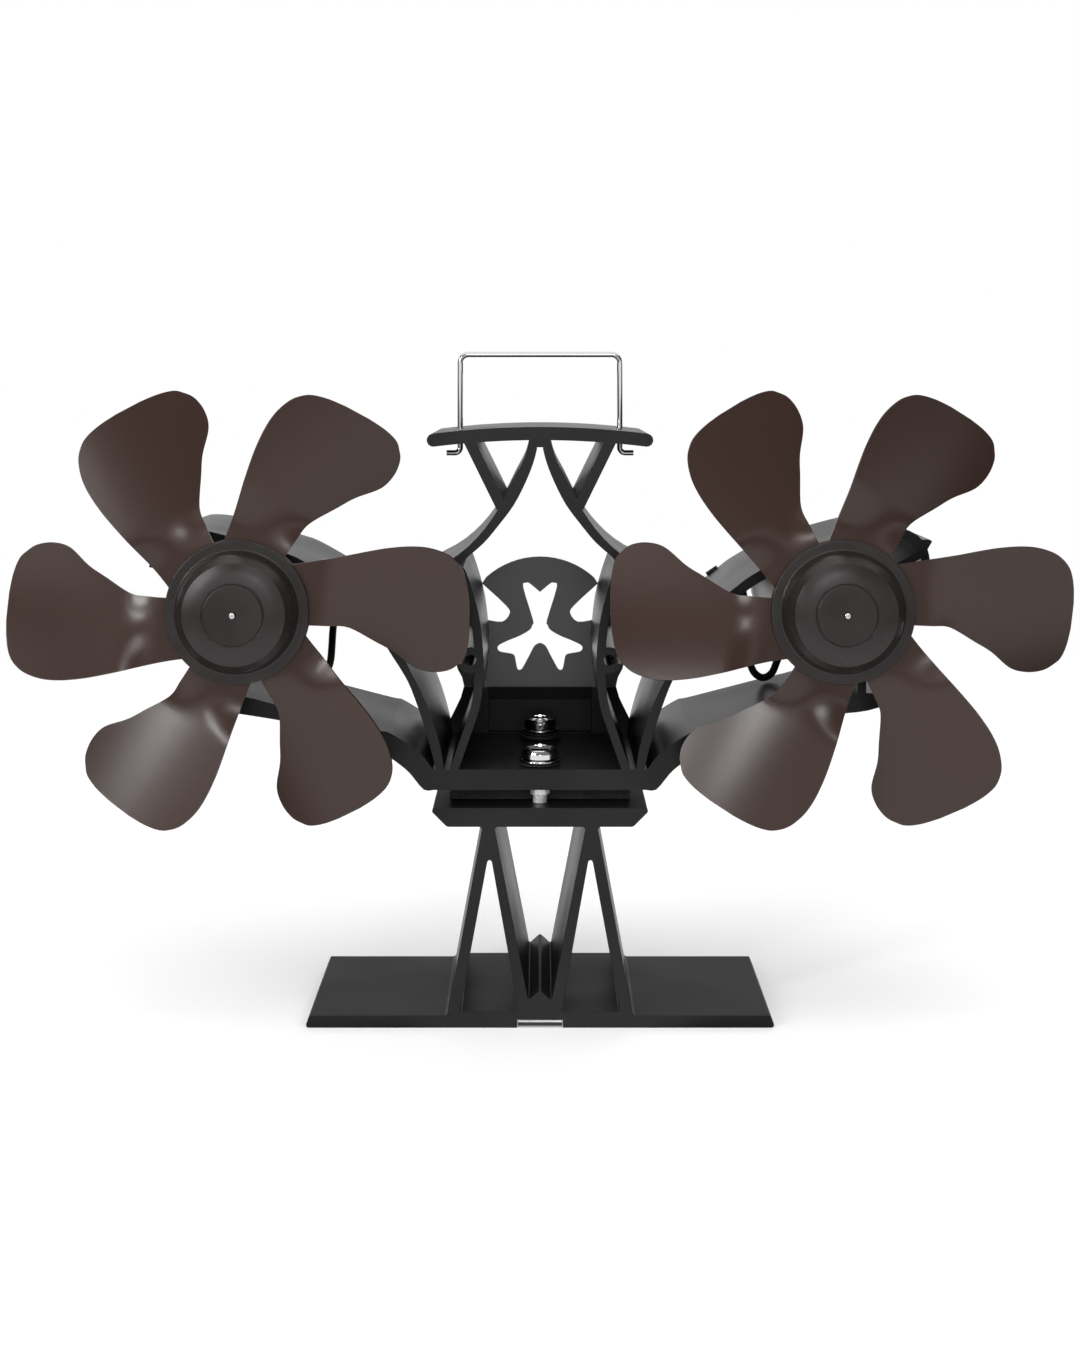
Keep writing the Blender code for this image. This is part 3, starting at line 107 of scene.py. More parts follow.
# Metals: name, colour, roughness, stretch of the rolling marks and share of metal
METALS = {
    "shaft": ("ground_shaft", (0.94, 0.94, 0.94), 0.24, (4000, 40, 4000), 1.0),
    "zinc": ("zinc_plating", (0.62, 0.63, 0.64), 0.26, (700, 700, 700), 1.0),
    "bright_zinc": ("bright_zinc", (0.97, 0.97, 0.97), 0.24, (700, 700, 700), 0.35),
    "can": ("plated_can", (0.56, 0.56, 0.56), 0.30, (60, 3000, 60), 1.0),
    "brass": ("brass", (0.70, 0.53, 0.26), 0.30, (900, 900, 900), 1.0),
}

# Matt pieces: name, dark and light colour, roughness, scale and depth of the texture
MATT_PIECES = {
    "bimetal": ("strip_dark_layer", (0.014, 0.013, 0.012), (0.018, 0.017, 0.016), 0.42, 2500, 0.000002),
    # painted light: white layer that makes the slit above the strip look bright
    "slit_light": ("painted_slit_light_layer", (0.60, 0.60, 0.60), (0.72, 0.72, 0.72), 0.40, 3000, 0.000004),
    "seal": ("black_seal", (0.020, 0.020, 0.021), (0.032, 0.032, 0.033), 0.75, 1800, 0.00004),
    "plastic": ("dark_plastic", (0.030, 0.030, 0.030), (0.040, 0.040, 0.040), 0.48, 1500, 0.00001),
    "rubber": ("black_rubber", (0.016, 0.016, 0.016), (0.026, 0.026, 0.026), 0.80, 1200, 0.00002),
    "pad": ("graphite_pad", (0.060, 0.060, 0.064), (0.100, 0.100, 0.105), 0.62, 900, 0.00001),
    "ceramic": ("white_ceramic", (0.72, 0.71, 0.68), (0.80, 0.79, 0.76), 0.50, 1400, 0.00001),
    "lead": ("lead_sleeve", (0.016, 0.016, 0.016), (0.030, 0.029, 0.028), 0.58, 1600, 0.00003),
}

# Finish of each material slot of the CAD pieces
SLOT_FINISHES = {
    "frame_black": "frame", "sheet_black": "sheet", "hub_black": "hub", "bimetal": "bimetal",
    "steel": "zinc", "chrome": "chrome", "wire_bright": "wire", "pad_grey": "pad", "brass": "brass",
    "ceramic_white": "ceramic", "seal_black": "seal", "motor_plated": "can", "plastic_black": "plastic",
    "rubber_black": "rubber", "lead_black": "lead",
}

# Limits between which a texture's noise turns from its low to its high value
NOISE_LIMITS = (0.35, 0.65)

# Edge rounding that catches the light
FRAME_EDGE = 0.00030
SHEET_EDGE = 0.00022
SMALL_EDGE = 0.00012
EDGE_ANGLE = math.radians(38)
FOLD_ANGLE = math.radians(24)
FLAT_ANGLE = math.radians(0.4)
WELD_DISTANCE = 0.000002
EDGE_STEPS = 2
RIM_STEPS = 3

# Propeller
BLADE_COUNT = 6
BLADE_RADIUS = 0.0780
BLADE_SHEET = 0.0009
BLADE_PITCH = math.radians(20.6)
BLADE_TWIST_END = 0.0400
BLADE_PLANE = 0.0235
BLADE_AXIS_SHARE = 0.072
BLADE_CAMBER_SHARE = 0.25
DISC_RADIUS = 0.0245
DISC_SHEET = 0.00088
DISC_BORE = 0.0043

# Hub
HUB_FACE_RADIUS = 0.0099
HUB_GROOVE_RADIUS = 0.0105
HUB_GROOVE_DEPTH = 0.0007
HUB_EDGE_RADIUS = 0.0172
HUB_EDGE_DEPTH = 0.0019
HUB_DOME_RADIUS = 0.0208
HUB_DOME_DEPTH = 0.0090
HUB_FLANGE_THICKNESS = 0.0014
HUB_WALL = 0.0018
HUB_BOSS_RADIUS = 0.0040
HUB_NOTCHES = 4
HUB_NOTCH_WIDTH = 0.0016

# Handle
WIRE_RADIUS = 0.0010
HANDLE_BEND = 0.0030
HANDLE_FOOT = 0.0050

# Bolts, washers and collars
BOLT_RADIUS = 0.0021
BOLT_BORE = BOLT_RADIUS + SMALL_EDGE / 2
BOLT_HEAD_LIMIT = 0.0046
BOLT_HEAD_HEIGHT = 0.0039
BOLT_RIM_HEIGHT = 0.0018
BOLT_CROWN_RADIUS = 0.0058
BOLT_CROWN_HEIGHT = 0.0032
BOLT_FACE_RADIUS = 0.0045
BOLT_DOME_RADIUS = 0.0024
BOLT_DOME_HEIGHT = 0.0042
BOLT_PEAK_HEIGHT = 0.0043
WASHER_EDGE = 0.0005
COLLAR_TOP = 0.0010
COLLAR_FLANGE = 0.0030
COLLAR_TUBE_RADIUS = 0.0025

# Rear shield and the bead in its pocket
SHIELD_SHEET = 0.0015
SHIELD_FOLD_SHARE = 0.265
SHIELD_BLEND_SHARE = 0.006
POCKET_WIDTH = 0.0412
BEAD_HEIGHT = 0.0008

# Cross recesses, screws and threads
RECESS_LENGTH = 0.0054
RECESS_WIDTH = 0.0013
RECESS_DEPTH = 0.0020
RECESS_END_SHARE = 0.6
SCREW_RADIUS = 0.0016
SHIELD_SCREW_HEAD = 0.0022
STRIP_SCREW_HEAD = 0.0007
THREAD_PITCH = 0.0008
THREAD_DEPTH = 0.00025

# Bimetal strip
STRIP_THICKNESS = 0.0012
STRIP_LENGTH = 0.0640
STRIP_FREE_LENGTH = 0.0480
STRIP_CRANK = 0.0030
# Thickness of the white layer of painted light on the strip
SLIT_LIGHT_THICKNESS = 0.0007

# Motors and their solder
MOTOR_BORE = 0.0013
CAN_EDGE = 0.0010
CAN_GROOVE = 0.0005
SLEEVE_RIBS = 5
SOLDER_RADIUS = 0.0009

# Thermoelectric module
MODULE_PLATE = 0.0008
MODULE_INSET = 0.0009

# Smoothness
ROUND_STEPS = 96
FILLET_STEPS = 4
STATION_STEPS = 5
CHORD_STEPS = 12
BEND_STEPS = 10
LEAD_STEPS = 4
WIRE_STEPS = 6
SOLDER_STEPS = (20, 12)

# Blade that points right: reach, lower edge and upper edge in shares of the propeller's radius
BLADE_SHARES = (
    (0.230, -0.059, 0.203), (0.295, -0.059, 0.212), (0.385, -0.064, 0.228), (0.474, -0.074, 0.245),
    (0.590, -0.141, 0.268), (0.667, -0.188, 0.280), (0.756, -0.262, 0.286), (0.833, -0.283, 0.279),
    (0.903, -0.274, 0.255), (0.946, -0.246, 0.222), (0.974, -0.215, 0.181), (0.992, -0.154, 0.114),
    (1.000, -0.077, 0.036),
)

# Route of the right lead from the module to the motor, before the part is centred on its footprint
CENTRE_SHIFT = 0.015025
LEAD_RADIUS = 0.0014
LEAD_POINTS = (
    (0.0080, 0.0203, 0.07975), (0.0080, 0.0260, 0.07975), (0.0085, 0.0320, 0.0798), (0.0110, 0.0362, 0.0800),
    (0.0170, 0.0382, 0.0810), (0.0260, 0.0378, 0.0832), (0.0342, 0.0371, 0.0855), (0.0385, 0.0369, 0.0905),
    (0.0388, 0.0369, 0.0980), (0.0397, 0.0369, 0.1060), (0.0425, 0.0369, 0.1150), (0.0460, 0.0369, 0.1230),
    (0.0502, 0.0369, 0.1305), (0.0550, 0.0369, 0.1378), (0.0608, 0.0369, 0.1448), (0.0672, 0.0369, 0.1507),
    (0.0728, 0.0371, 0.1530), (0.0765, 0.0374, 0.1505), (0.0780, 0.0372, 0.1455), (0.0786, 0.0355, 0.1400),
    (0.0789, 0.0330, 0.1345), (0.0791, 0.0300, 0.1290), (0.0792, 0.0275, 0.1235), (0.0796, 0.0257, 0.1185),
    (0.0814, 0.0250, 0.1145), (0.0846, 0.0250, 0.1128), (0.0878, 0.0250, 0.1145), (0.0896, 0.0250, 0.1185),
    (0.0912, 0.0248, 0.1230), (0.0920, 0.0240, 0.1275), (0.0932, 0.0220, 0.1315), (0.0948, 0.0180, 0.1352),
    (0.0960, 0.0130, 0.1392), (0.0960, 0.0080, 0.1432), (0.0958, 0.0035, 0.1466), (0.0958, 0.0000, 0.1477),
    (0.0958, -0.0013, 0.1479),
)


def node_box(node):
    """Lowest corner, highest corner and middle of a CAD node."""
    low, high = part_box(node)
    return low, high, (low + high) / 2


def world_axis(direction):
    """Matrix that turns +Z onto the given direction."""
    return Vector((0, 0, 1)).rotation_difference(Vector(direction)).to_matrix().to_4x4()


def turned_place(node, upright):
    """Start, end and radius of a turned node about +Z or +Y, and the matrix that puts a piece there."""
    low, high, middle = node_box(node)
    radius = (high.x - low.x) / 2
    if upright:
        return low.z, high.z, radius, Matrix.Translation((middle.x, middle.y, 0))
    place = Matrix.Translation((middle.x, 0, middle.z)) @ world_axis((0, 1, 0))
    return low.y, high.y, radius, place


def even_normals(obj):
    """Shading normals that keep the wide faces flat."""
    normals = obj.modifiers.new("normals", "WEIGHTED_NORMAL")
    normals.keep_sharp = False


def add_bevel(obj, width, steps, angle=None):
    """Rounds the edges that turn by more than the angle, or by the modifier's own limit."""
    bevel = obj.modifiers.new("bevel", "BEVEL")
    bevel.width = width
    bevel.segments = steps
    if angle:
        bevel.limit_method = "ANGLE"
        bevel.angle_limit = angle
    return bevel


def add_mesh(name, bm, material, body, smooth=True):
    """Object from a finished bmesh, riding on a body where one is given."""
    mesh = bpy.data.meshes.new(name)
    bmesh.ops.recalc_face_normals(bm, faces=bm.faces)
    bm.to_mesh(mesh)
    bm.free()
    for polygon in mesh.polygons:
        polygon.use_smooth = smooth
    obj = bpy.data.objects.new(name, mesh)
    bpy.context.scene.collection.objects.link(obj)
    if material:
        mesh.materials.append(material)
    if body:
        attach(obj, body)
    return obj


def rounded_profile(corners, steps=FILLET_STEPS):
    """Profile whose (radius, height, fillet) corners are rounded with arcs."""
    profile = []
    for i, (r, h, fillet) in enumerate(corners):
        here = Vector((r, h))
        if fillet <= 0 or i in (0, len(corners) - 1):
            profile.append(here)
            continue
        before = (Vector(corners[i - 1][:2]) - here).normalized()
        after = (Vector(corners[i + 1][:2]) - here).normalized()
        opening = before.angle(after)
        if math.pi - opening < FLAT_ANGLE:
            profile.append(here)
            continue
        reach = fillet / math.tan(opening / 2)
        centre = here + (before + after).normalized() * fillet / math.sin(opening / 2)
        start = here + before * reach - centre
        sweep = (here + after * reach - centre).angle_signed(start)
        for k in range(steps + 1):
            turned = start.copy()
            turned.rotate(Matrix.Rotation(sweep * k / steps, 2))
            profile.append(centre + turned)
    return profile


def bridge(bm, first, second):
    """Faces between two closed rows with as many vertices."""
    for k in range(len(first)):
        after = (k + 1) % len(first)
        bm.faces.new((first[k], first[after], second[after], second[k]))


def prism(bm, first, second):
    """Closed form between two outlines."""
    bridge(bm, first, second)
    bm.faces.new(first)
    bm.faces.new(second)


def fan_to(bm, ring, tip):
    """Faces between a closed row of vertices and one point."""
    for k in range(len(ring)):
        bm.faces.new((ring[k], ring[(k + 1) % len(ring)], tip))


def ring_of(bm, radius, height):
    """Vertices of a circle about Z, or one vertex where the radius is nothing."""
    if radius < WELD_DISTANCE:
        return [bm.verts.new((0, 0, height))]
    angles = [math.tau * k / ROUND_STEPS for k in range(ROUND_STEPS)]
    return [bm.verts.new((radius * math.cos(angle), radius * math.sin(angle), height)) for angle in angles]


def lathe(name, profile, place, material, body):
    """Surface turned about the axis of place, from (radius, height) points."""
    bm = bmesh.new()
    rings = [ring_of(bm, radius, height) for radius, height in profile]
    for low, high in zip(rings, rings[1:]):
        if len(low) == len(high) == ROUND_STEPS:
            bridge(bm, low, high)
        elif len(low) == ROUND_STEPS:
            fan_to(bm, low, high[0])
        elif len(high) == ROUND_STEPS:
            fan_to(bm, high, low[0])
    bmesh.ops.remove_doubles(bm, verts=bm.verts, dist=WELD_DISTANCE)
    bm.transform(place)
    obj = add_mesh(name, bm, material, body)
    even_normals(obj)
    return obj


def wire(name, points, radius, material, body):
    """Round wire along the points with closed ends."""
    curve = bpy.data.curves.new(name, "CURVE")
    curve.dimensions = "3D"
    curve.bevel_depth = radius
    curve.bevel_resolution = WIRE_STEPS
    curve.use_fill_caps = True
    spline = curve.splines.new("POLY")
    spline.points.add(len(points) - 1)
    for target, point in zip(spline.points, points):
        target.co = (*point, 1)
    curve.materials.append(material)
    obj = bpy.data.objects.new(name, curve)
    bpy.context.scene.collection.objects.link(obj)
    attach(obj, body)
    return obj


def smooth_curve(points, steps):
    """Catmull-Rom curve through the points."""
    last = len(points) - 1
    curve = []
    for i in range(last):
        before = points[max(i - 1, 0)]
        after = points[min(i + 2, last)]
        for k in range(steps):
            t = k / steps
            curve.append(tuple(
                (2 * b + (c - a) * t + (2 * a - 5 * b + 4 * c - d) * t ** 2
                 + (3 * b - a - 3 * c + d) * t ** 3) / 2
                for a, b, c, d in zip(before, points[i], points[i + 1], after)))
    curve.append(tuple(points[last]))
    return curve


def shader_input(material, name):
    return material.node_tree.nodes["Principled BSDF"].inputs[name]


def surface(name, colour, metallic, roughness):
    """Material with the main values of its shader."""
    material = bpy.data.materials.new(name)
    material.use_nodes = True
    shader_input(material, "Base Color").default_value = (*colour, 1)
    shader_input(material, "Metallic").default_value = metallic
    shader_input(material, "Roughness").default_value = roughness
    return material


def texture(material, scale, stretch=(1, 1, 1), detail=3.0):
    """Noise in the object's own coordinates, stretched along an axis where stretch is small."""
    tree = material.node_tree
    mapping = tree.nodes.new("ShaderNodeMapping")
    mapping.inputs["Scale"].default_value = stretch
    noise = tree.nodes.new("ShaderNodeTexNoise")
    noise.inputs["Scale"].default_value = scale
    noise.inputs["Detail"].default_value = detail
    tree.links.new(coordinates(tree, "Object"), mapping.inputs["Vector"])
    tree.links.new(mapping.outputs["Vector"], noise.inputs["Vector"])
    return noise.outputs["Fac"]


def coordinates(tree, kind):
    return tree.nodes.new("ShaderNodeTexCoord").outputs[kind]


def axis_part(tree, vector, axis):
    """One of the three parts of a vector."""
    parts = tree.nodes.new("ShaderNodeSeparateXYZ")
    tree.links.new(vector, parts.inputs["Vector"])
    return parts.outputs[axis]


def ramp(tree, value, limits, low_value, high_value):
    """Maps a value between two limits onto two others, with soft ends."""
    node = tree.nodes.new("ShaderNodeMapRange")
    node.interpolation_type = "SMOOTHSTEP"
    node.inputs["From Min"].default_value = limits[0]
    node.inputs["From Max"].default_value = limits[1]
    node.inputs["To Min"].default_value = low_value
    node.inputs["To Max"].default_value = high_value
    tree.links.new(value, node.inputs["Value"])
    return node.outputs["Result"]


def vary_roughness(material, fac, low_value, high_value):
    """Roughness that follows a texture."""
    result = ramp(material.node_tree, fac, NOISE_LIMITS, low_value, high_value)
    material.node_tree.links.new(result, shader_input(material, "Roughness"))


def vary_colour(material, fac, dark, light):
    """Colour that follows a texture."""
    tree = material.node_tree
    mix = tree.nodes.new("ShaderNodeMix")
    mix.data_type = "RGBA"
    mix.inputs["A"].default_value = (*dark, 1)
    mix.inputs["B"].default_value = (*light, 1)
    tree.links.new(ramp(tree, fac, NOISE_LIMITS, 0, 1), mix.inputs["Factor"])
    tree.links.new(mix.outputs["Result"], shader_input(material, "Base Color"))


def add_grain(material, fac, depth):
    """Bump from a texture, laid over the bumps that are already there."""
    tree = material.node_tree
    normal = shader_input(material, "Normal")
    bump = tree.nodes.new("ShaderNodeBump")
    bump.inputs["Strength"].default_value = 1.0
    bump.inputs["Distance"].default_value = depth
    tree.links.new(fac, bump.inputs["Height"])
    if normal.is_linked:
        tree.links.new(normal.links[0].from_socket, bump.inputs["Normal"])
    tree.links.new(bump.outputs["Normal"], normal)


def frame_material(name, low_roughness, high_roughness):
    """Satin black anodised extrusion: drawing lines along its depth and a fine blasted grain."""
    material = surface(name, (0.012, 0.012, 0.012), 0.0, low_roughness)
    shader_input(material, "Specular IOR Level").default_value = 0.24
    grain = texture(material, 2600, detail=2.0)
    lines = texture(material, 1.0, stretch=(900, 3, 900), detail=1.0)
    clouds = texture(material, 30, detail=1.0)
    vary_colour(material, clouds, (0.010, 0.010, 0.010), (0.014, 0.014, 0.014))
    vary_roughness(material, clouds, low_roughness, high_roughness)
    add_grain(material, grain, FRAME_GRAIN)
    add_grain(material, lines, FRAME_GRAIN)
    return material


def sheet_material():
    """Semi-gloss black paint on pressed sheet, faintly orange-peeled; its red-brown tint is partly the
    paint's own warm cast and partly painted orange glow.
    """
    # partly painted light: the red-brown tint of these colours stands in part for an orange glow on the
    # blades
    material = surface("semi_gloss_sheet_with_painted_glow", (0.034, 0.0165, 0.0120), 0.0, 0.24)
    peel = texture(material, 420, detail=1.0)
    clouds = texture(material, 14, detail=0.0)
    vary_colour(material, clouds, (0.032, 0.0156, 0.0113), (0.036, 0.0174, 0.0127))
    vary_roughness(material, clouds, 0.22, 0.26)
    add_grain(material, peel, SHEET_PEEL)
    return material


def shield_material():
    """Charcoal semi-gloss sheet; its pressed-in lower part, below the fold, is painted darker and mirrors
    less: painted shade of the pocket.
    """
    material = surface("charcoal_shield", (0.160, 0.160, 0.160), 0.0, 0.32)
    tree = material.node_tree
    height = axis_part(tree, coordinates(tree, "Generated"), "Z")
    pocket_shade_limits = (SHIELD_FOLD_SHARE, SHIELD_FOLD_SHARE + SHIELD_BLEND_SHARE)
    # painted shade: below the fold the sheet is painted dark and made to mirror less, for the shade in the
    # pocket
    vary_colour(material, ramp(tree, height, pocket_shade_limits, 0, 1), (0.034, 0.034, 0.034), (0.165, 0.165, 0.165))
    tree.links.new(ramp(tree, height, pocket_shade_limits, 0.10, 0.60), shader_input(material, "Specular IOR Level"))
    vary_roughness(material, texture(material, 30, detail=1.0), 0.30, 0.34)
    add_grain(material, texture(material, 520, detail=1.5), SHIELD_GRAIN)
    return material


def hub_material():
    """Smooth black moulding."""
    material = surface("moulded_black_hub", (0.016, 0.013, 0.012), 0.0, 0.30)
    vary_roughness(material, texture(material, 80), 0.26, 0.36)
    add_grain(material, texture(material, 900, detail=2.0), HUB_GRAIN)
    return material


def chrome_material(name, roughness):
    """Bright plating with faint drawing marks."""
    material = surface(name, (0.78, 0.78, 0.79), 1.0, roughness)
    vary_roughness(material, texture(material, 300), roughness * 0.7, roughness * 1.6)
    add_grain(material, texture(material, 400, detail=1.0), CHROME_MARKS)
    return material


def drawn_wire_material():
    """Nickel-bright wire; its roughness drifts slowly along its length."""
    material = surface("bright_wire", (0.72, 0.72, 0.73), 1.0, 0.02)
    vary_roughness(material, texture(material, 60, detail=0.0), 0.015, 0.03)
    return material


def metal_material(name, colour, roughness, stretch, metallic):
    """Rolled, ground or plated metal with fine marks."""
    material = surface(name, colour, metallic, roughness)
    lines = texture(material, 1.0, stretch=stretch, detail=3.0)
    vary_roughness(material, lines, roughness * 0.8, roughness * 1.4)
    add_grain(material, lines, METAL_MARKS)
    return material


def matt_material(name, dark, light, roughness, scale, depth):
    """Moulding, foam, ceramic or dull layer with a fine texture."""
    material = surface(name, dark, 0.0, roughness)
    fine = texture(material, scale, detail=4.0)
    vary_colour(material, texture(material, scale / 12), dark, light)
    vary_roughness(material, fine, roughness * 0.85, min(roughness * 1.15, 1.0))
    add_grain(material, fine, depth)
    return material


def make_materials():
    materials = {
        "frame": frame_material("satin_black_extrusion", 0.29, 0.33),
        "foot": frame_material("satin_black_foot", 0.38, 0.44),
        "sheet": sheet_material(),
        "shield": shield_material(),
        "hub": hub_material(),
        "chrome": chrome_material("bright_chrome", 0.06),
        "wire": drawn_wire_material(),
    }
    for key, values in METALS.items():
        materials[key] = metal_material(*values)
    for key, values in MATT_PIECES.items():
        materials[key] = matt_material(*values)
    return materials


def paint(node, material):
    """Gives a CAD node one finish."""
    obj = frame["nodes"][node]
    obj.data.materials.clear()
    obj.data.materials.append(material)


def soften(node, width, angle=EDGE_ANGLE):
    """Rounds the sharp edges of a CAD node so that they catch the light."""
    obj = frame["nodes"][node]
    bpy.context.view_layer.objects.active = obj
    bpy.ops.mesh.customdata_custom_splitnormals_clear()
    for polygon in obj.data.polygons:
        polygon.use_smooth = True
    weld = obj.modifiers.new("weld", "WELD")
    weld.merge_threshold = WELD_DISTANCE
    flat = obj.modifiers.new("flat", "DECIMATE")
    flat.decimate_type = "DISSOLVE"
    flat.angle_limit = FLAT_ANGLE
    bevel = add_bevel(obj, width, EDGE_STEPS, angle)
    bevel.miter_outer = "MITER_ARC"
    even_normals(obj)


def paint_frame(materials):
    """Finishes of the CAD pieces, with rounded edges on those that stay in sight."""
    for part in frame["record"]["subparts"]:
        paint(part["node"], materials[SLOT_FINISHES[part["material_slot"]]])
    paint("rear_shield", materials["shield"])
    paint("base", materials["foot"])
    for node in ("base", "heatsink"):
        soften(node, FRAME_EDGE)
    soften("rear_shield", SHEET_EDGE, FOLD_ANGLE)
    for node in ("module_seal", "left_clip", "right_clip", "left_terminals", "right_terminals"):
        soften(node, SMALL_EDGE)


def blade_depth(reach, across):
    """How far a point of the sheet lies behind the disc's plane."""
    share = (reach - DISC_RADIUS) / (BLADE_TWIST_END - DISC_RADIUS)
    share = min(max(share, 0), 1)
    rise = share * share * (3 - 2 * share)
    offset = across - BLADE_AXIS_SHARE * BLADE_RADIUS
    camber = BLADE_CAMBER_SHARE * offset * offset / BLADE_RADIUS
    return rise * (camber - math.tan(BLADE_PITCH) * offset)


def sheet_piece(name, bm, thickness, edge, material, body):
    """Open surface given a sheet's thickness and rounded rims."""
    obj = add_mesh(name, bm, material, body)
    solid = obj.modifiers.new("solid", "SOLIDIFY")
    solid.thickness = thickness
    solid.offset = 0
    add_bevel(obj, edge, RIM_STEPS, EDGE_ANGLE)
    even_normals(obj)
    return obj


def blade_row(bm, shares, angle):
    """Vertices across a blade at one reach, from its lower to its upper edge."""
    reach_share, low_share, high_share = shares
    reach = reach_share * BLADE_RADIUS
    row = []
    for k in range(CHORD_STEPS + 1):
        across = (low_share + (high_share - low_share) * k / CHORD_STEPS) * BLADE_RADIUS
        row.append(bm.verts.new((reach * math.cos(angle) - across * math.sin(angle),
                                 blade_depth(reach, across),
                                 reach * math.sin(angle) + across * math.cos(angle))))
    return row


def make_blades(side, place, materials):
    """Six twisted blades."""
    bm = bmesh.new()
    for blade in range(BLADE_COUNT):
        angle = math.tau * blade / BLADE_COUNT
        rows = [blade_row(bm, shares, angle) for shares in smooth_curve(BLADE_SHARES, STATION_STEPS)]
        for before, row in zip(rows, rows[1:]):
            for k in range(CHORD_STEPS):
                bm.faces.new((before[k], row[k], row[k + 1], before[k + 1]))
    bm.transform(place)
    blades = sheet_piece(side + "_blades", bm, BLADE_SHEET, SHEET_EDGE, materials["sheet"], side + "_fan")
    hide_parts(side + "_propeller")


def make_disc(side, place, materials):
    """Round middle of the sheet, behind the hub."""
    bm = bmesh.new()
    angles = [math.tau * k / ROUND_STEPS for k in range(ROUND_STEPS)]
    rings = [[bm.verts.new((radius * math.cos(angle), 0, radius * math.sin(angle))) for angle in angles]
             for radius in (DISC_RADIUS, DISC_BORE)]
    bridge(bm, *rings)
    bm.transform(place)
    disc = sheet_piece(side + "_disc", bm, DISC_SHEET, SHEET_EDGE, materials["sheet"], side + "_fan")


def make_propeller(side, materials):
    """Blades and disc, centred on the hub's axis."""
    centre = node_box(side + "_hub")[2]
    plane = node_box("heatsink")[0].y - BLADE_PLANE
    place = Matrix.Translation((centre.x, plane, centre.z))
    make_blades(side, place, materials)
    make_disc(side, place, materials)


def cut_away(obj, cutters):
    """Cuts the closed cutters out of obj and removes them."""
    for cutter in cutters:
        cut = obj.modifiers.new("cut", "BOOLEAN")
        cut.solver = "EXACT"
        cut.object = cutter
        while obj.modifiers.find(cut.name) > 0:
            obj.modifiers.move(obj.modifiers.find(cut.name), 0)
    obj.modifiers.remove(obj.modifiers["normals"])
    depsgraph = bpy.context.evaluated_depsgraph_get()
    mesh = bpy.data.meshes.new_from_object(obj.evaluated_get(depsgraph))
    obj.modifiers.clear()
    obj.data = mesh
    for cutter in cutters:
        bpy.data.objects.remove(cutter)
    add_bevel(obj, SMALL_EDGE, EDGE_STEPS, EDGE_ANGLE)
    even_normals(obj)


def tapered_bar(length, width, start, end, place):
    """Cutter that narrows towards its end, for a recess, a notch or a vent."""
    bm = bmesh.new()
    corners = []
    for height, share in ((start, 1), (end, RECESS_END_SHARE)):
        corners.append([bm.verts.new((x * length / 2 * share, y * width / 2 * share, height))
                        for x, y in ((-1, -1), (1, -1), (1, 1), (-1, 1))])
    prism(bm, *corners)
    bm.transform(place)
    return add_mesh("cutter", bm, None, None, smooth=False)


def cut_cross(obj, place, top, outward, length, width, depth):
    """Cross recess in a head whose outer face is at top."""
    over = outward * depth
    cut_away(obj, [tapered_bar(length, width, top + over, top - over, place),
                   tapered_bar(width, length, top + over, top - over, place)])


def make_hub(side, materials):
    """Moulded cap with a flat middle, a groove with four notches round it and a shouldered dome."""
    face, back, flange, place = turned_place(side + "_hub", False)
    flange_front = face + HUB_WALL / 4 + HUB_DOME_DEPTH
    flange_back = flange_front + HUB_FLANGE_THICKNESS
    inside = HUB_DOME_RADIUS - HUB_WALL
    roof = face + 2 * HUB_WALL
    bore = MOTOR_BORE - SMALL_EDGE
    corners = [
        (bore, roof, 0), (bore, face, SMALL_EDGE),
        (HUB_FACE_RADIUS, face, FRAME_EDGE),
        (HUB_FACE_RADIUS + SMALL_EDGE, face + HUB_GROOVE_DEPTH, SMALL_EDGE),
        (HUB_GROOVE_RADIUS - SMALL_EDGE, face + HUB_GROOVE_DEPTH, SMALL_EDGE),
        (HUB_GROOVE_RADIUS, face + HUB_WALL / 4, FRAME_EDGE),
        ((HUB_GROOVE_RADIUS + HUB_EDGE_RADIUS) / 2, face + HUB_EDGE_DEPTH * 0.45, HUB_DOME_RADIUS),
        (HUB_EDGE_RADIUS, face + HUB_EDGE_DEPTH, FRAME_EDGE),
        ((HUB_EDGE_RADIUS + 2 * HUB_DOME_RADIUS) / 3, face + HUB_DOME_DEPTH * 0.55, HUB_DOME_DEPTH / 2),
        (HUB_DOME_RADIUS, flange_front, FRAME_EDGE * 2),
        (flange, flange_front, FRAME_EDGE), (flange, flange_back, FRAME_EDGE),
        (inside, flange_back, SMALL_EDGE), (inside, face + HUB_DOME_DEPTH * 0.7, HUB_DOME_DEPTH / 4),
        (HUB_FACE_RADIUS, roof, HUB_WALL), (HUB_BOSS_RADIUS, roof, SMALL_EDGE),
        (HUB_BOSS_RADIUS, back, SMALL_EDGE), (bore, back, SMALL_EDGE), (bore, roof, 0),
    ]
    hub = lathe(side + "_hub_cap", rounded_profile(corners), place, materials["hub"], side + "_fan")
    notches = []
    for k in range(HUB_NOTCHES):
        turn = Matrix.Rotation(math.tau * (k + 0.5) / HUB_NOTCHES, 4, "Z")
        step = Matrix.Translation((HUB_GROOVE_RADIUS, 0, 0))
        notches.append(tapered_bar(HUB_NOTCH_WIDTH, HUB_NOTCH_WIDTH * 1.6, face - HUB_GROOVE_DEPTH,
                                   face + HUB_GROOVE_DEPTH, place @ turn @ step))
    cut_away(hub, notches)
    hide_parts(side + "_hub")


def turned_piece(name, node, upright, shape, material, body):
    """Lathed stand-in for a node: shape turns its start, end and radius into (radius, height, fillet)."""
    start, end, radius, place = turned_place(node, upright)
    obj = lathe(name, rounded_profile(shape(start, end, radius)), place, material, body)
    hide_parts(node)
    return obj, end, place


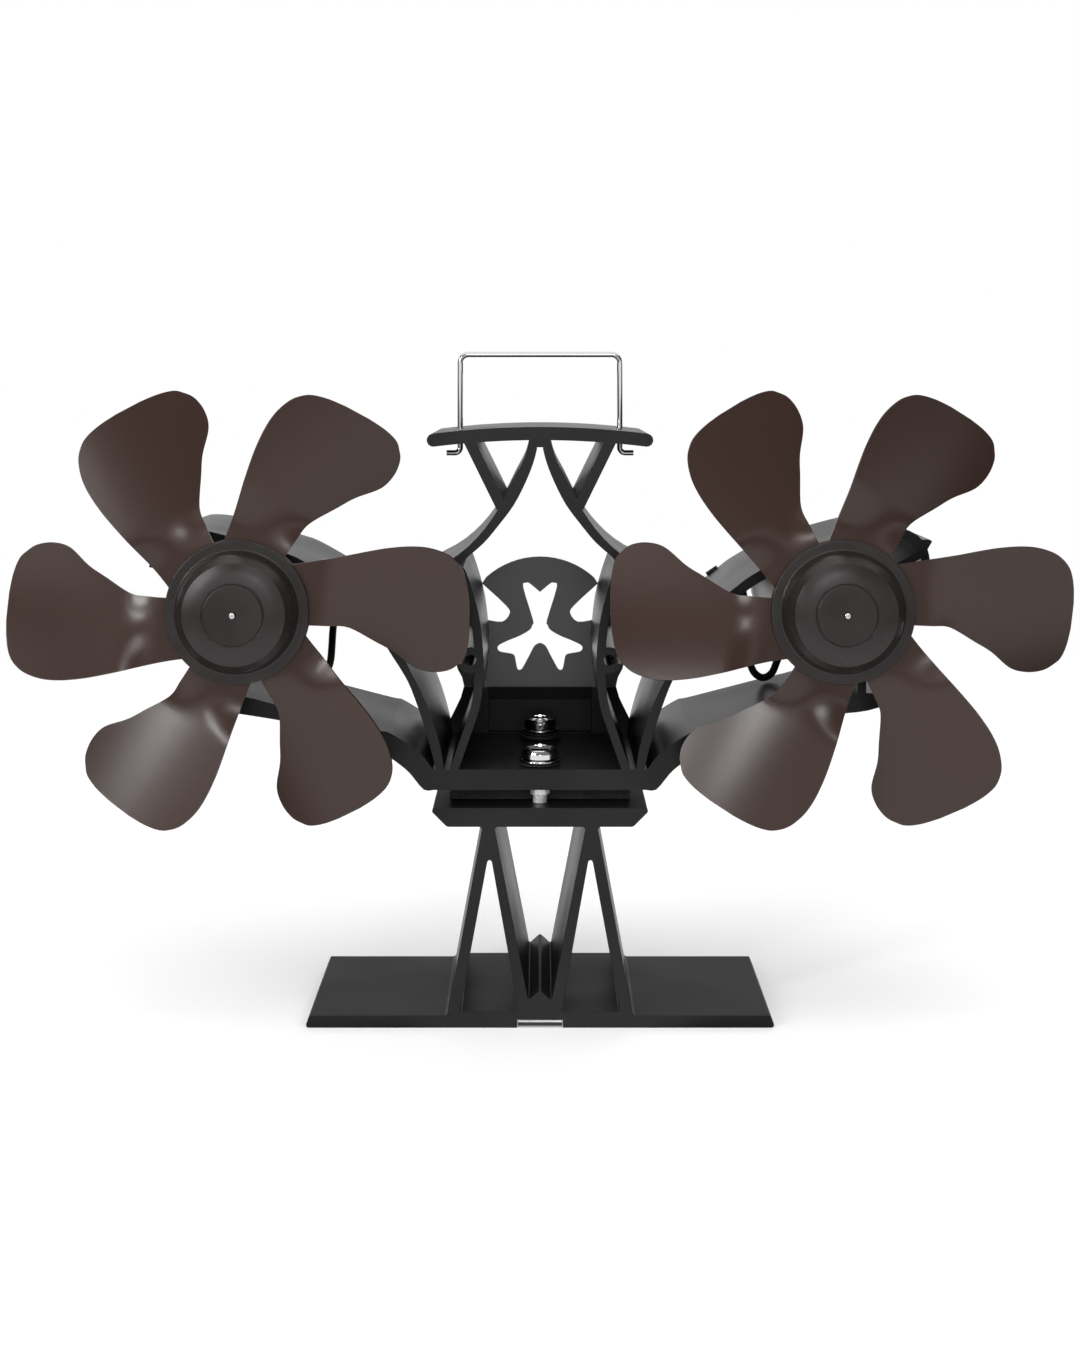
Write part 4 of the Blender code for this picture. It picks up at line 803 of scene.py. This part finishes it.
def ring_shape(bore, edge):
    """Shape of a ring with rounded corners."""
    def shape(start, end, radius):
        middle = (start + end) / 2
        return [(bore, middle, 0), (bore, start, edge), (radius, start, edge), (radius, end, edge),
                (bore, end, edge), (bore, middle, 0)]
    return shape


def threaded(start, end, radius):
    """Profile of a thread between two heights."""
    count = max(round(abs(end - start) / THREAD_PITCH), 1)
    step = (end - start) / count
    corners = []
    for k in range(count):
        corners.append((radius, start + step * k, 0))
        corners.append((radius - THREAD_DEPTH, start + step * (k + 0.5), 0))
    return corners


def make_shaft(side, materials):
    """Motor shaft with a rounded front end."""
    def shape(start, end, radius):
        return [(0, start, 0), (radius, start, radius / 3), (radius, end, 0), (0, end, 0)]
    turned_piece(side + "_pin", side + "_shaft", False, shape, materials["shaft"], side + "_fan")


def make_bolt(end_name, materials):
    """Pan-head bolt with a cross recess; its thread grips the block under the module."""
    def shape(start, end, radius):
        seat = end - BOLT_HEAD_LIMIT
        thread_end = start + (seat - start) / 3
        return ([(0, start, 0)] + threaded(start, thread_end, BOLT_RADIUS)
                + [(BOLT_RADIUS, thread_end, 0), (BOLT_RADIUS, seat, 0), (radius, seat, SMALL_EDGE),
                   (radius, seat + BOLT_RIM_HEIGHT, FRAME_EDGE * 2),
                   (BOLT_CROWN_RADIUS, seat + BOLT_CROWN_HEIGHT, FRAME_EDGE * 3),
                   (BOLT_FACE_RADIUS, seat + BOLT_HEAD_HEIGHT, FRAME_EDGE * 2),
                   (BOLT_DOME_RADIUS, seat + BOLT_DOME_HEIGHT, BOLT_FACE_RADIUS / 3),
                   (0, seat + BOLT_PEAK_HEIGHT, 0)])
    bolt, end, place = turned_piece(end_name + "_cross_bolt", end_name + "_bolt", True, shape,
                                    materials["chrome"], "frame")
    face = end - BOLT_HEAD_LIMIT + BOLT_PEAK_HEIGHT
    cut_cross(bolt, place, face, 1, RECESS_LENGTH, RECESS_WIDTH, RECESS_DEPTH)


def collar_shape(start, end, radius):
    """Tube in the floor's hole with a flange near its top."""
    foot = node_box("base")[1].z + SMALL_EDGE
    flange_top = start + COLLAR_TOP
    flange = flange_top - COLLAR_FLANGE
    neck = radius - SMALL_EDGE * 2
    return [(BOLT_BORE, end, 0), (BOLT_BORE, foot, SMALL_EDGE / 2),
            (COLLAR_TUBE_RADIUS, foot, SMALL_EDGE / 2), (COLLAR_TUBE_RADIUS, flange, SMALL_EDGE / 2),
            (radius, flange, SMALL_EDGE * 2), (radius, flange_top, SMALL_EDGE),
            (neck, flange_top, SMALL_EDGE / 2), (neck, end, SMALL_EDGE), (BOLT_BORE, end, 0)]


def make_clamps(materials):
    """Bolts with their washers, insulating rings, collars and the rear bush."""
    for end_name in ("front", "rear"):
        make_bolt(end_name, materials)
        turned_piece(end_name + "_flat_washer", end_name + "_washer", True,
                     ring_shape(BOLT_BORE, WASHER_EDGE), materials["chrome"], "frame")
        turned_piece(end_name + "_insulating_ring", end_name + "_insulator", True,
                     ring_shape(BOLT_BORE, SMALL_EDGE), materials["seal"], "frame")
        turned_piece(end_name + "_flanged_collar", end_name + "_collar", True, collar_shape,
                     materials["bright_zinc"], "frame")
    turned_piece("rear_spacer", "rear_bush", True, ring_shape(BOLT_BORE, FRAME_EDGE), materials["seal"],
                 "frame")


def make_screws(materials):
    """Screws of the shield, with their heads behind it, and of the strip, with its head under it."""
    screws = (("left_shield_screw", False, SHIELD_SCREW_HEAD),
              ("right_shield_screw", False, SHIELD_SCREW_HEAD),
              ("bimetal_screw", True, STRIP_SCREW_HEAD))
    for node, upright, height in screws:
        outward = -1 if upright else 1
        start, end, radius, place = turned_place(node, upright)
        head = end if outward > 0 else start
        tip = start if outward > 0 else end
        shank = min(SCREW_RADIUS, radius * 0.6)
        seat = head - outward * height
        corners = ([(0, tip, 0)] + threaded(tip, seat, shank)
                   + [(shank, seat, 0), (radius, seat, SMALL_EDGE / 2),
                      (radius, head - outward * height * 0.55, SMALL_EDGE),
                      (radius * 0.72, head, height / 3), (0, head, 0)])
        screw = lathe(node + "_turned", rounded_profile(corners), place, materials["zinc"], "frame")
        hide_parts(node)
        cut_cross(screw, place, head, outward, radius * 1.1, radius * 0.28, height * 0.55)


def make_motor(side, materials):
    """Rolled can, vented cap with a bearing seat, front bush and ribbed sleeve."""
    def can(start, end, radius):
        groove = start + (end - start) * 0.12
        return [(MOTOR_BORE, end, 0), (MOTOR_BORE, start, SMALL_EDGE),
                (radius * 0.40, start, SMALL_EDGE), (radius * 0.42, start + CAN_GROOVE, SMALL_EDGE),
                (radius * 0.60, start + CAN_GROOVE, SMALL_EDGE), (radius * 0.62, start, SMALL_EDGE),
                (radius, start, CAN_EDGE), (radius, groove, 0),
                (radius - CAN_GROOVE / 2, groove + CAN_GROOVE, 0), (radius, groove + 2 * CAN_GROOVE, 0),
                (radius, end, FRAME_EDGE), (MOTOR_BORE, end, 0)]
    turned_piece(side + "_can", side + "_motor", False, can, materials["can"], "frame")

    def cap(start, end, radius):
        return [(0, start, 0), (radius, start, SMALL_EDGE), (radius, end, CAN_EDGE),
                (radius * 0.78, end, SMALL_EDGE), (radius * 0.76, end - CAN_GROOVE, SMALL_EDGE),
                (radius * 0.27, end - CAN_GROOVE, SMALL_EDGE), (radius * 0.25, end, SMALL_EDGE),
                (radius * 0.16, end, SMALL_EDGE), (radius * 0.14, end - 2 * CAN_GROOVE, SMALL_EDGE),
                (0, end - 2 * CAN_GROOVE, 0)]
    cap_piece, end, place = turned_piece(side + "_brush_cap", side + "_motor_cap", False, cap,
                                         materials["plastic"], "frame")
    radius = turned_place(side + "_motor_cap", False)[2]
    vents = []
    for turn in (math.pi / 2, -math.pi / 2):
        step = Matrix.Rotation(turn, 4, "Z") @ Matrix.Translation((radius * 0.52, 0, 0))
        vents.append(tapered_bar(radius * 0.16, radius * 0.5, end + CAN_GROOVE, end - 4 * CAN_GROOVE,
                                 place @ step))
    cut_away(cap_piece, vents)
    turned_piece(side + "_bearing", side + "_motor_bush", False,
                 ring_shape(MOTOR_BORE - SMALL_EDGE, FRAME_EDGE), materials["brass"], "frame")

    def sleeve(start, end, radius):
        bore = turned_place(side + "_motor", False)[2] + SMALL_EDGE
        step = (end - start) / SLEEVE_RIBS
        corners = [(bore, (start + end) / 2, 0), (bore, start, SMALL_EDGE), (radius, start, SMALL_EDGE)]
        for k in range(1, SLEEVE_RIBS):
            corners += [(radius, start + step * k - CAN_GROOVE / 2, 0),
                        (radius - CAN_GROOVE / 2, start + step * k, 0),
                        (radius, start + step * k + CAN_GROOVE / 2, 0)]
        return corners + [(radius, end, SMALL_EDGE), (bore, end, SMALL_EDGE), (bore, (start + end) / 2, 0)]
    turned_piece(side + "_rubber_sleeve", side + "_sleeve", False, sleeve, materials["rubber"], "frame")


def make_handle(materials):
    """Wire bail with bent feet."""
    low, high, middle = node_box("handle")
    reach = high.x - HANDLE_FOOT
    foot = low.z + WIRE_RADIUS
    top = high.z - WIRE_RADIUS
    bend = WIRE_RADIUS * 2
    corners = [(reach + HANDLE_FOOT, foot, 0), (reach, foot, bend), (reach, top, HANDLE_BEND),
               (-reach, top, HANDLE_BEND), (-reach, foot, bend), (-reach - HANDLE_FOOT, foot, 0)]
    points = [(point.x, middle.y, point.y) for point in rounded_profile(corners, BEND_STEPS)]
    handle = wire("wire_handle", points, WIRE_RADIUS, materials["wire"], "handle")
    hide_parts("handle")


def slab(name, low, high, edge, material, body="frame"):
    """Rectangular plate with rounded edges, between two corners."""
    bm = bmesh.new()
    bmesh.ops.create_cube(bm, size=1)
    middle = (low + high) / 2
    bm.transform(Matrix.Translation(middle) @ Matrix.Diagonal((*(high - low), 1)))
    obj = add_mesh(name, bm, material, body)
    add_bevel(obj, edge, RIM_STEPS)
    even_normals(obj)
    return obj


def make_strip(materials):
    """Dark strip, cranked up to its screw behind and flush with the base in front, and a white layer on its
    lying part: painted light that makes the slit above the strip look bright.
    """
    low, high, _ = node_box("bimetal_strip")
    front = node_box("base")[0].y + SMALL_EDGE
    crank = high.y - STRIP_LENGTH + STRIP_FREE_LENGTH
    lying = low.z + STRIP_THICKNESS
    outline = [(front, lying), (crank, lying), (crank + STRIP_CRANK, high.z), (high.y, high.z),
               (high.y, high.z - STRIP_THICKNESS), (crank + STRIP_CRANK, high.z - STRIP_THICKNESS),
               (crank, low.z), (front, low.z)]
    bm = bmesh.new()
    prism(bm, *([bm.verts.new((x, y, z)) for y, z in outline] for x in (low.x, high.x)))
    strip = add_mesh("cranked_dark_strip", bm, materials["bimetal"], "bimetal", smooth=False)
    add_bevel(strip, SMALL_EDGE, EDGE_STEPS)
    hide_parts("bimetal_strip")
    # painted light: a white layer on the strip's lying part makes the slit above it look bright
    start = Vector((low.x, front, lying))
    end = Vector((high.x, crank - STRIP_CRANK, lying + SLIT_LIGHT_THICKNESS))
    slit_light = slab("painted_slit_light", start, end, SMALL_EDGE, materials["slit_light"], "bimetal")


def make_bead(materials):
    """Heat-proof bead that closes the slit between the floor's rear edge and the shield's pocket."""
    low, high, _ = node_box("rear_shield")
    half = POCKET_WIDTH / 2 - SHEET_EDGE
    rear = high.y - SHIELD_SHEET - SHEET_EDGE
    start = Vector((-half, low.y + SHEET_EDGE, low.z + SHEET_EDGE))
    end = Vector((half, rear, low.z + SHEET_EDGE + BEAD_HEIGHT))
    slab("shield_bead", start, end, SMALL_EDGE, materials["seal"])


def make_module(materials):
    """Two ceramic plates with the sealed row of legs between them."""
    low, high, _ = node_box("thermoelectric_module")
    rise = Vector((0, 0, MODULE_PLATE))
    inset = Vector((MODULE_INSET, MODULE_INSET, 0))
    lower_top = Vector((high.x, high.y, low.z)) + rise
    upper_foot = Vector((low.x, low.y, high.z)) - rise
    within = inset + rise * 0.9
    lower = slab("module_lower_plate", low, lower_top, SMALL_EDGE, materials["ceramic"])
    upper = slab("module_upper_plate", upper_foot, high, SMALL_EDGE, materials["ceramic"])
    core = slab("module_core", low + within, high - within, SMALL_EDGE, materials["seal"])
    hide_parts("thermoelectric_module")


def make_solder(side, materials):
    """Solder where the lead's two wires meet the motor's tags."""
    low, high, middle = node_box(side + "_terminals")
    for name, x in (("outer", low.x), ("inner", high.x)):
        bm = bmesh.new()
        around, along = SOLDER_STEPS
        bmesh.ops.create_uvsphere(bm, u_segments=around, v_segments=along, radius=SOLDER_RADIUS)
        inward = math.copysign(SMALL_EDGE * 3, middle.x - x)
        stretch = Matrix.Diagonal((0.55, 1.15, 0.85, 1))
        bm.transform(Matrix.Translation((x + inward, high.y - SOLDER_RADIUS * 1.2, middle.z)) @ stretch)
        bead = add_mesh(side + "_solder_" + name, bm, materials["zinc"], "frame")


def make_leads(materials):
    """Sleeved lead of each motor, laid along the rear of its arm."""
    for side, sign in (("left", -1), ("right", 1)):
        route = [(sign * across, along + CENTRE_SHIFT, up)
                 for across, along, up in smooth_curve(LEAD_POINTS, LEAD_STEPS)]
        lead = wire(side + "_motor_lead", route, LEAD_RADIUS, materials["lead"], "frame")
        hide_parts(side + "_lead")


def make_camera():
    """Level camera with its picture shifted down onto the object."""
    low, _, _ = node_box("heatsink")
    camera_data = bpy.data.cameras.new("camera")
    camera_data.sensor_fit = "VERTICAL"
    camera_data.sensor_height = CAMERA_SENSOR
    camera_data.lens = CAMERA_LENS
    camera_data.shift_y = -HORIZON_SHARE
    camera_data.clip_start = CAMERA_CLIP
    camera = bpy.data.objects.new("camera", camera_data)
    camera.location = (0, low.y - CAMERA_DISTANCE, CAMERA_HEIGHT)
    camera.rotation_euler = (math.radians(90), 0, 0)
    bpy.context.scene.collection.objects.link(camera)
    bpy.context.scene.camera = camera


def pick(tree, chooser, otherwise, chosen):
    """Value that is chosen where the chooser is 1."""
    mix = tree.nodes.new("ShaderNodeMix")
    tree.links.new(chooser, mix.inputs["Factor"])
    for socket, value in (("A", otherwise), ("B", chosen)):
        if isinstance(value, float):
            mix.inputs[socket].default_value = value
        else:
            tree.links.new(value, mix.inputs[socket])
    return mix.outputs["Result"]


def worked_out(tree, kind, operation, *values):
    """Result of a math node on the values."""
    node = tree.nodes.new(kind)
    node.operation = operation
    for k, value in enumerate(values):
        tree.links.new(value, node.inputs[k])
    return node.outputs


def ray_kind(tree, kind):
    """1 for rays of one kind."""
    return tree.nodes.new("ShaderNodeLightPath").outputs[kind]


def flagged(tree, heading, strength):
    """Strength turned down where the heading points to the left or right."""
    aside = worked_out(tree, "ShaderNodeMath", "ABSOLUTE", axis_part(tree, heading, "X"))["Value"]
    flags = ramp(tree, aside, FLAG_EDGE, 1.0, FLAG_SHARE)
    return worked_out(tree, "ShaderNodeMath", "MULTIPLY", strength, flags)["Value"]


def mirrored_room(tree):
    """What polished and satin faces mirror above the floor.

    A dim wall with a bright foot in front, a low white card at the sides and the rear, a dark flag to the
    left and to the right, and a bright ceiling.
    """
    heading = coordinates(tree, "Generated")
    height = axis_part(tree, heading, "Z")
    above = ramp(tree, height, CARD_FOOT, 0, 1)
    card = ramp(tree, height, CARD_TOP, CARD_STRENGTH, REAR_STRENGTH)
    backdrop = pick(tree, above, REAR_STRENGTH, card)
    wall = ramp(tree, height, WALL_FOOT, POOL_STRENGTH, WALL_STRENGTH)
    behind = ramp(tree, axis_part(tree, heading, "Y"), WALL_SIDE, 0, 1)
    sides = flagged(tree, heading, pick(tree, behind, wall, backdrop))
    return pick(tree, ramp(tree, height, CEILING_EDGE, 0, 1), sides, CEILING_STRENGTH)


def make_world():
    """White for the camera, even light on matt faces and a room that polished faces mirror."""
    world = bpy.data.worlds.new("studio")
    bpy.context.scene.world = world
    world.use_nodes = True
    tree = world.node_tree
    background = tree.nodes["Background"]
    background.inputs["Color"].default_value = (1, 1, 1, 1)
    strength = pick(tree, ray_kind(tree, "Is Glossy Ray"), DIFFUSE_STRENGTH, mirrored_room(tree))
    for kind in ("Is Camera Ray", "Is Transmission Ray"):
        strength = pick(tree, ray_kind(tree, kind), strength, 1.0)
    tree.links.new(strength, background.inputs["Strength"])


def mirrored_floor(tree, place, distance):
    """Strength of the floor in polished faces: a bright pool near the object, dim in front, bright behind."""
    rear = ramp(tree, axis_part(tree, place, "Y"), REAR_FLOOR_EDGE, WALL_STRENGTH, CARD_STRENGTH)
    pool = ramp(tree, distance, POOL_EDGE, POOL_STRENGTH, 0)
    brighter = worked_out(tree, "ShaderNodeMath", "MAXIMUM", rear, pool)["Value"]
    heading = worked_out(tree, "ShaderNodeVectorMath", "NORMALIZE", place)["Vector"]
    return flagged(tree, heading, brighter)


def mixed(tree, factor, first, second):
    """Second shader where the factor is 1."""
    mix = tree.nodes.new("ShaderNodeMixShader")
    tree.links.new(factor, mix.inputs["Fac"])
    tree.links.new(first, mix.inputs[1])
    tree.links.new(second, mix.inputs[2])
    return mix.outputs["Shader"]


def floor_material():
    """White floor: keeps the shadow near the object and turns plain white further out."""
    material = bpy.data.materials.new("white_floor")
    material.use_nodes = True
    tree = material.node_tree
    tree.nodes.clear()
    place = coordinates(tree, "Object")
    distance = worked_out(tree, "ShaderNodeVectorMath", "LENGTH", place)["Value"]
    diffuse = tree.nodes.new("ShaderNodeBsdfDiffuse")
    diffuse.inputs["Color"].default_value = (*FLOOR_COLOUR, 1)
    lift = tree.nodes.new("ShaderNodeEmission")
    lift.inputs["Strength"].default_value = FLOOR_LIFT
    white = tree.nodes.new("ShaderNodeEmission")
    mirrored = tree.nodes.new("ShaderNodeEmission")
    tree.links.new(mirrored_floor(tree, place, distance), mirrored.inputs["Strength"])
    lit = tree.nodes.new("ShaderNodeAddShader")
    tree.links.new(diffuse.outputs["BSDF"], lit.inputs[0])
    tree.links.new(lift.outputs["Emission"], lit.inputs[1])
    fade = ramp(tree, distance, FLOOR_FADE, 0, 1)
    seen = worked_out(tree, "ShaderNodeMath", "MAXIMUM", ray_kind(tree, "Is Camera Ray"),
                      ray_kind(tree, "Is Transmission Ray"))["Value"]
    shader = mixed(tree, fade, lit.outputs["Shader"], white.outputs["Emission"])
    shader = mixed(tree, seen, diffuse.outputs["BSDF"], shader)
    shader = mixed(tree, ray_kind(tree, "Is Glossy Ray"), shader, mirrored.outputs["Emission"])
    output = tree.nodes.new("ShaderNodeOutputMaterial")
    tree.links.new(shader, output.inputs["Surface"])
    return material


def make_floor():
    """Wide floor that belongs to the stage."""
    bm = bmesh.new()
    bmesh.ops.create_grid(bm, x_segments=1, y_segments=1, size=FLOOR_SIZE / 2)
    floor = add_mesh("floor", bm, floor_material(), None)


def make_lamps():
    """Rectangular lamps, all aimed at the object."""
    for name, place, size, watts, mirrored in LAMPS:
        lamp_data = bpy.data.lights.new(name, "AREA")
        lamp_data.shape = "RECTANGLE"
        lamp_data.size, lamp_data.size_y = size
        lamp_data.energy = watts
        lamp = bpy.data.objects.new(name, lamp_data)
        lamp.location = place
        lamp.rotation_euler = (Vector(LAMP_TARGET) - Vector(place)).to_track_quat("-Z", "Y").to_euler()
        lamp.visible_glossy = mirrored
        bpy.context.scene.collection.objects.link(lamp)


def main():
    bpy.context.scene.view_settings.view_transform = "Standard"
    make_camera()
    materials = make_materials()
    make_leads(materials)
    make_world()
    make_floor()
    make_lamps()
    paint_frame(materials)
    make_clamps(materials)
    make_screws(materials)
    make_handle(materials)
    make_bead(materials)
    make_strip(materials)
    make_module(materials)
    for side in ("left", "right"):
        make_propeller(side, materials)
        make_hub(side, materials)
        make_shaft(side, materials)
        make_motor(side, materials)
        make_solder(side, materials)


main()
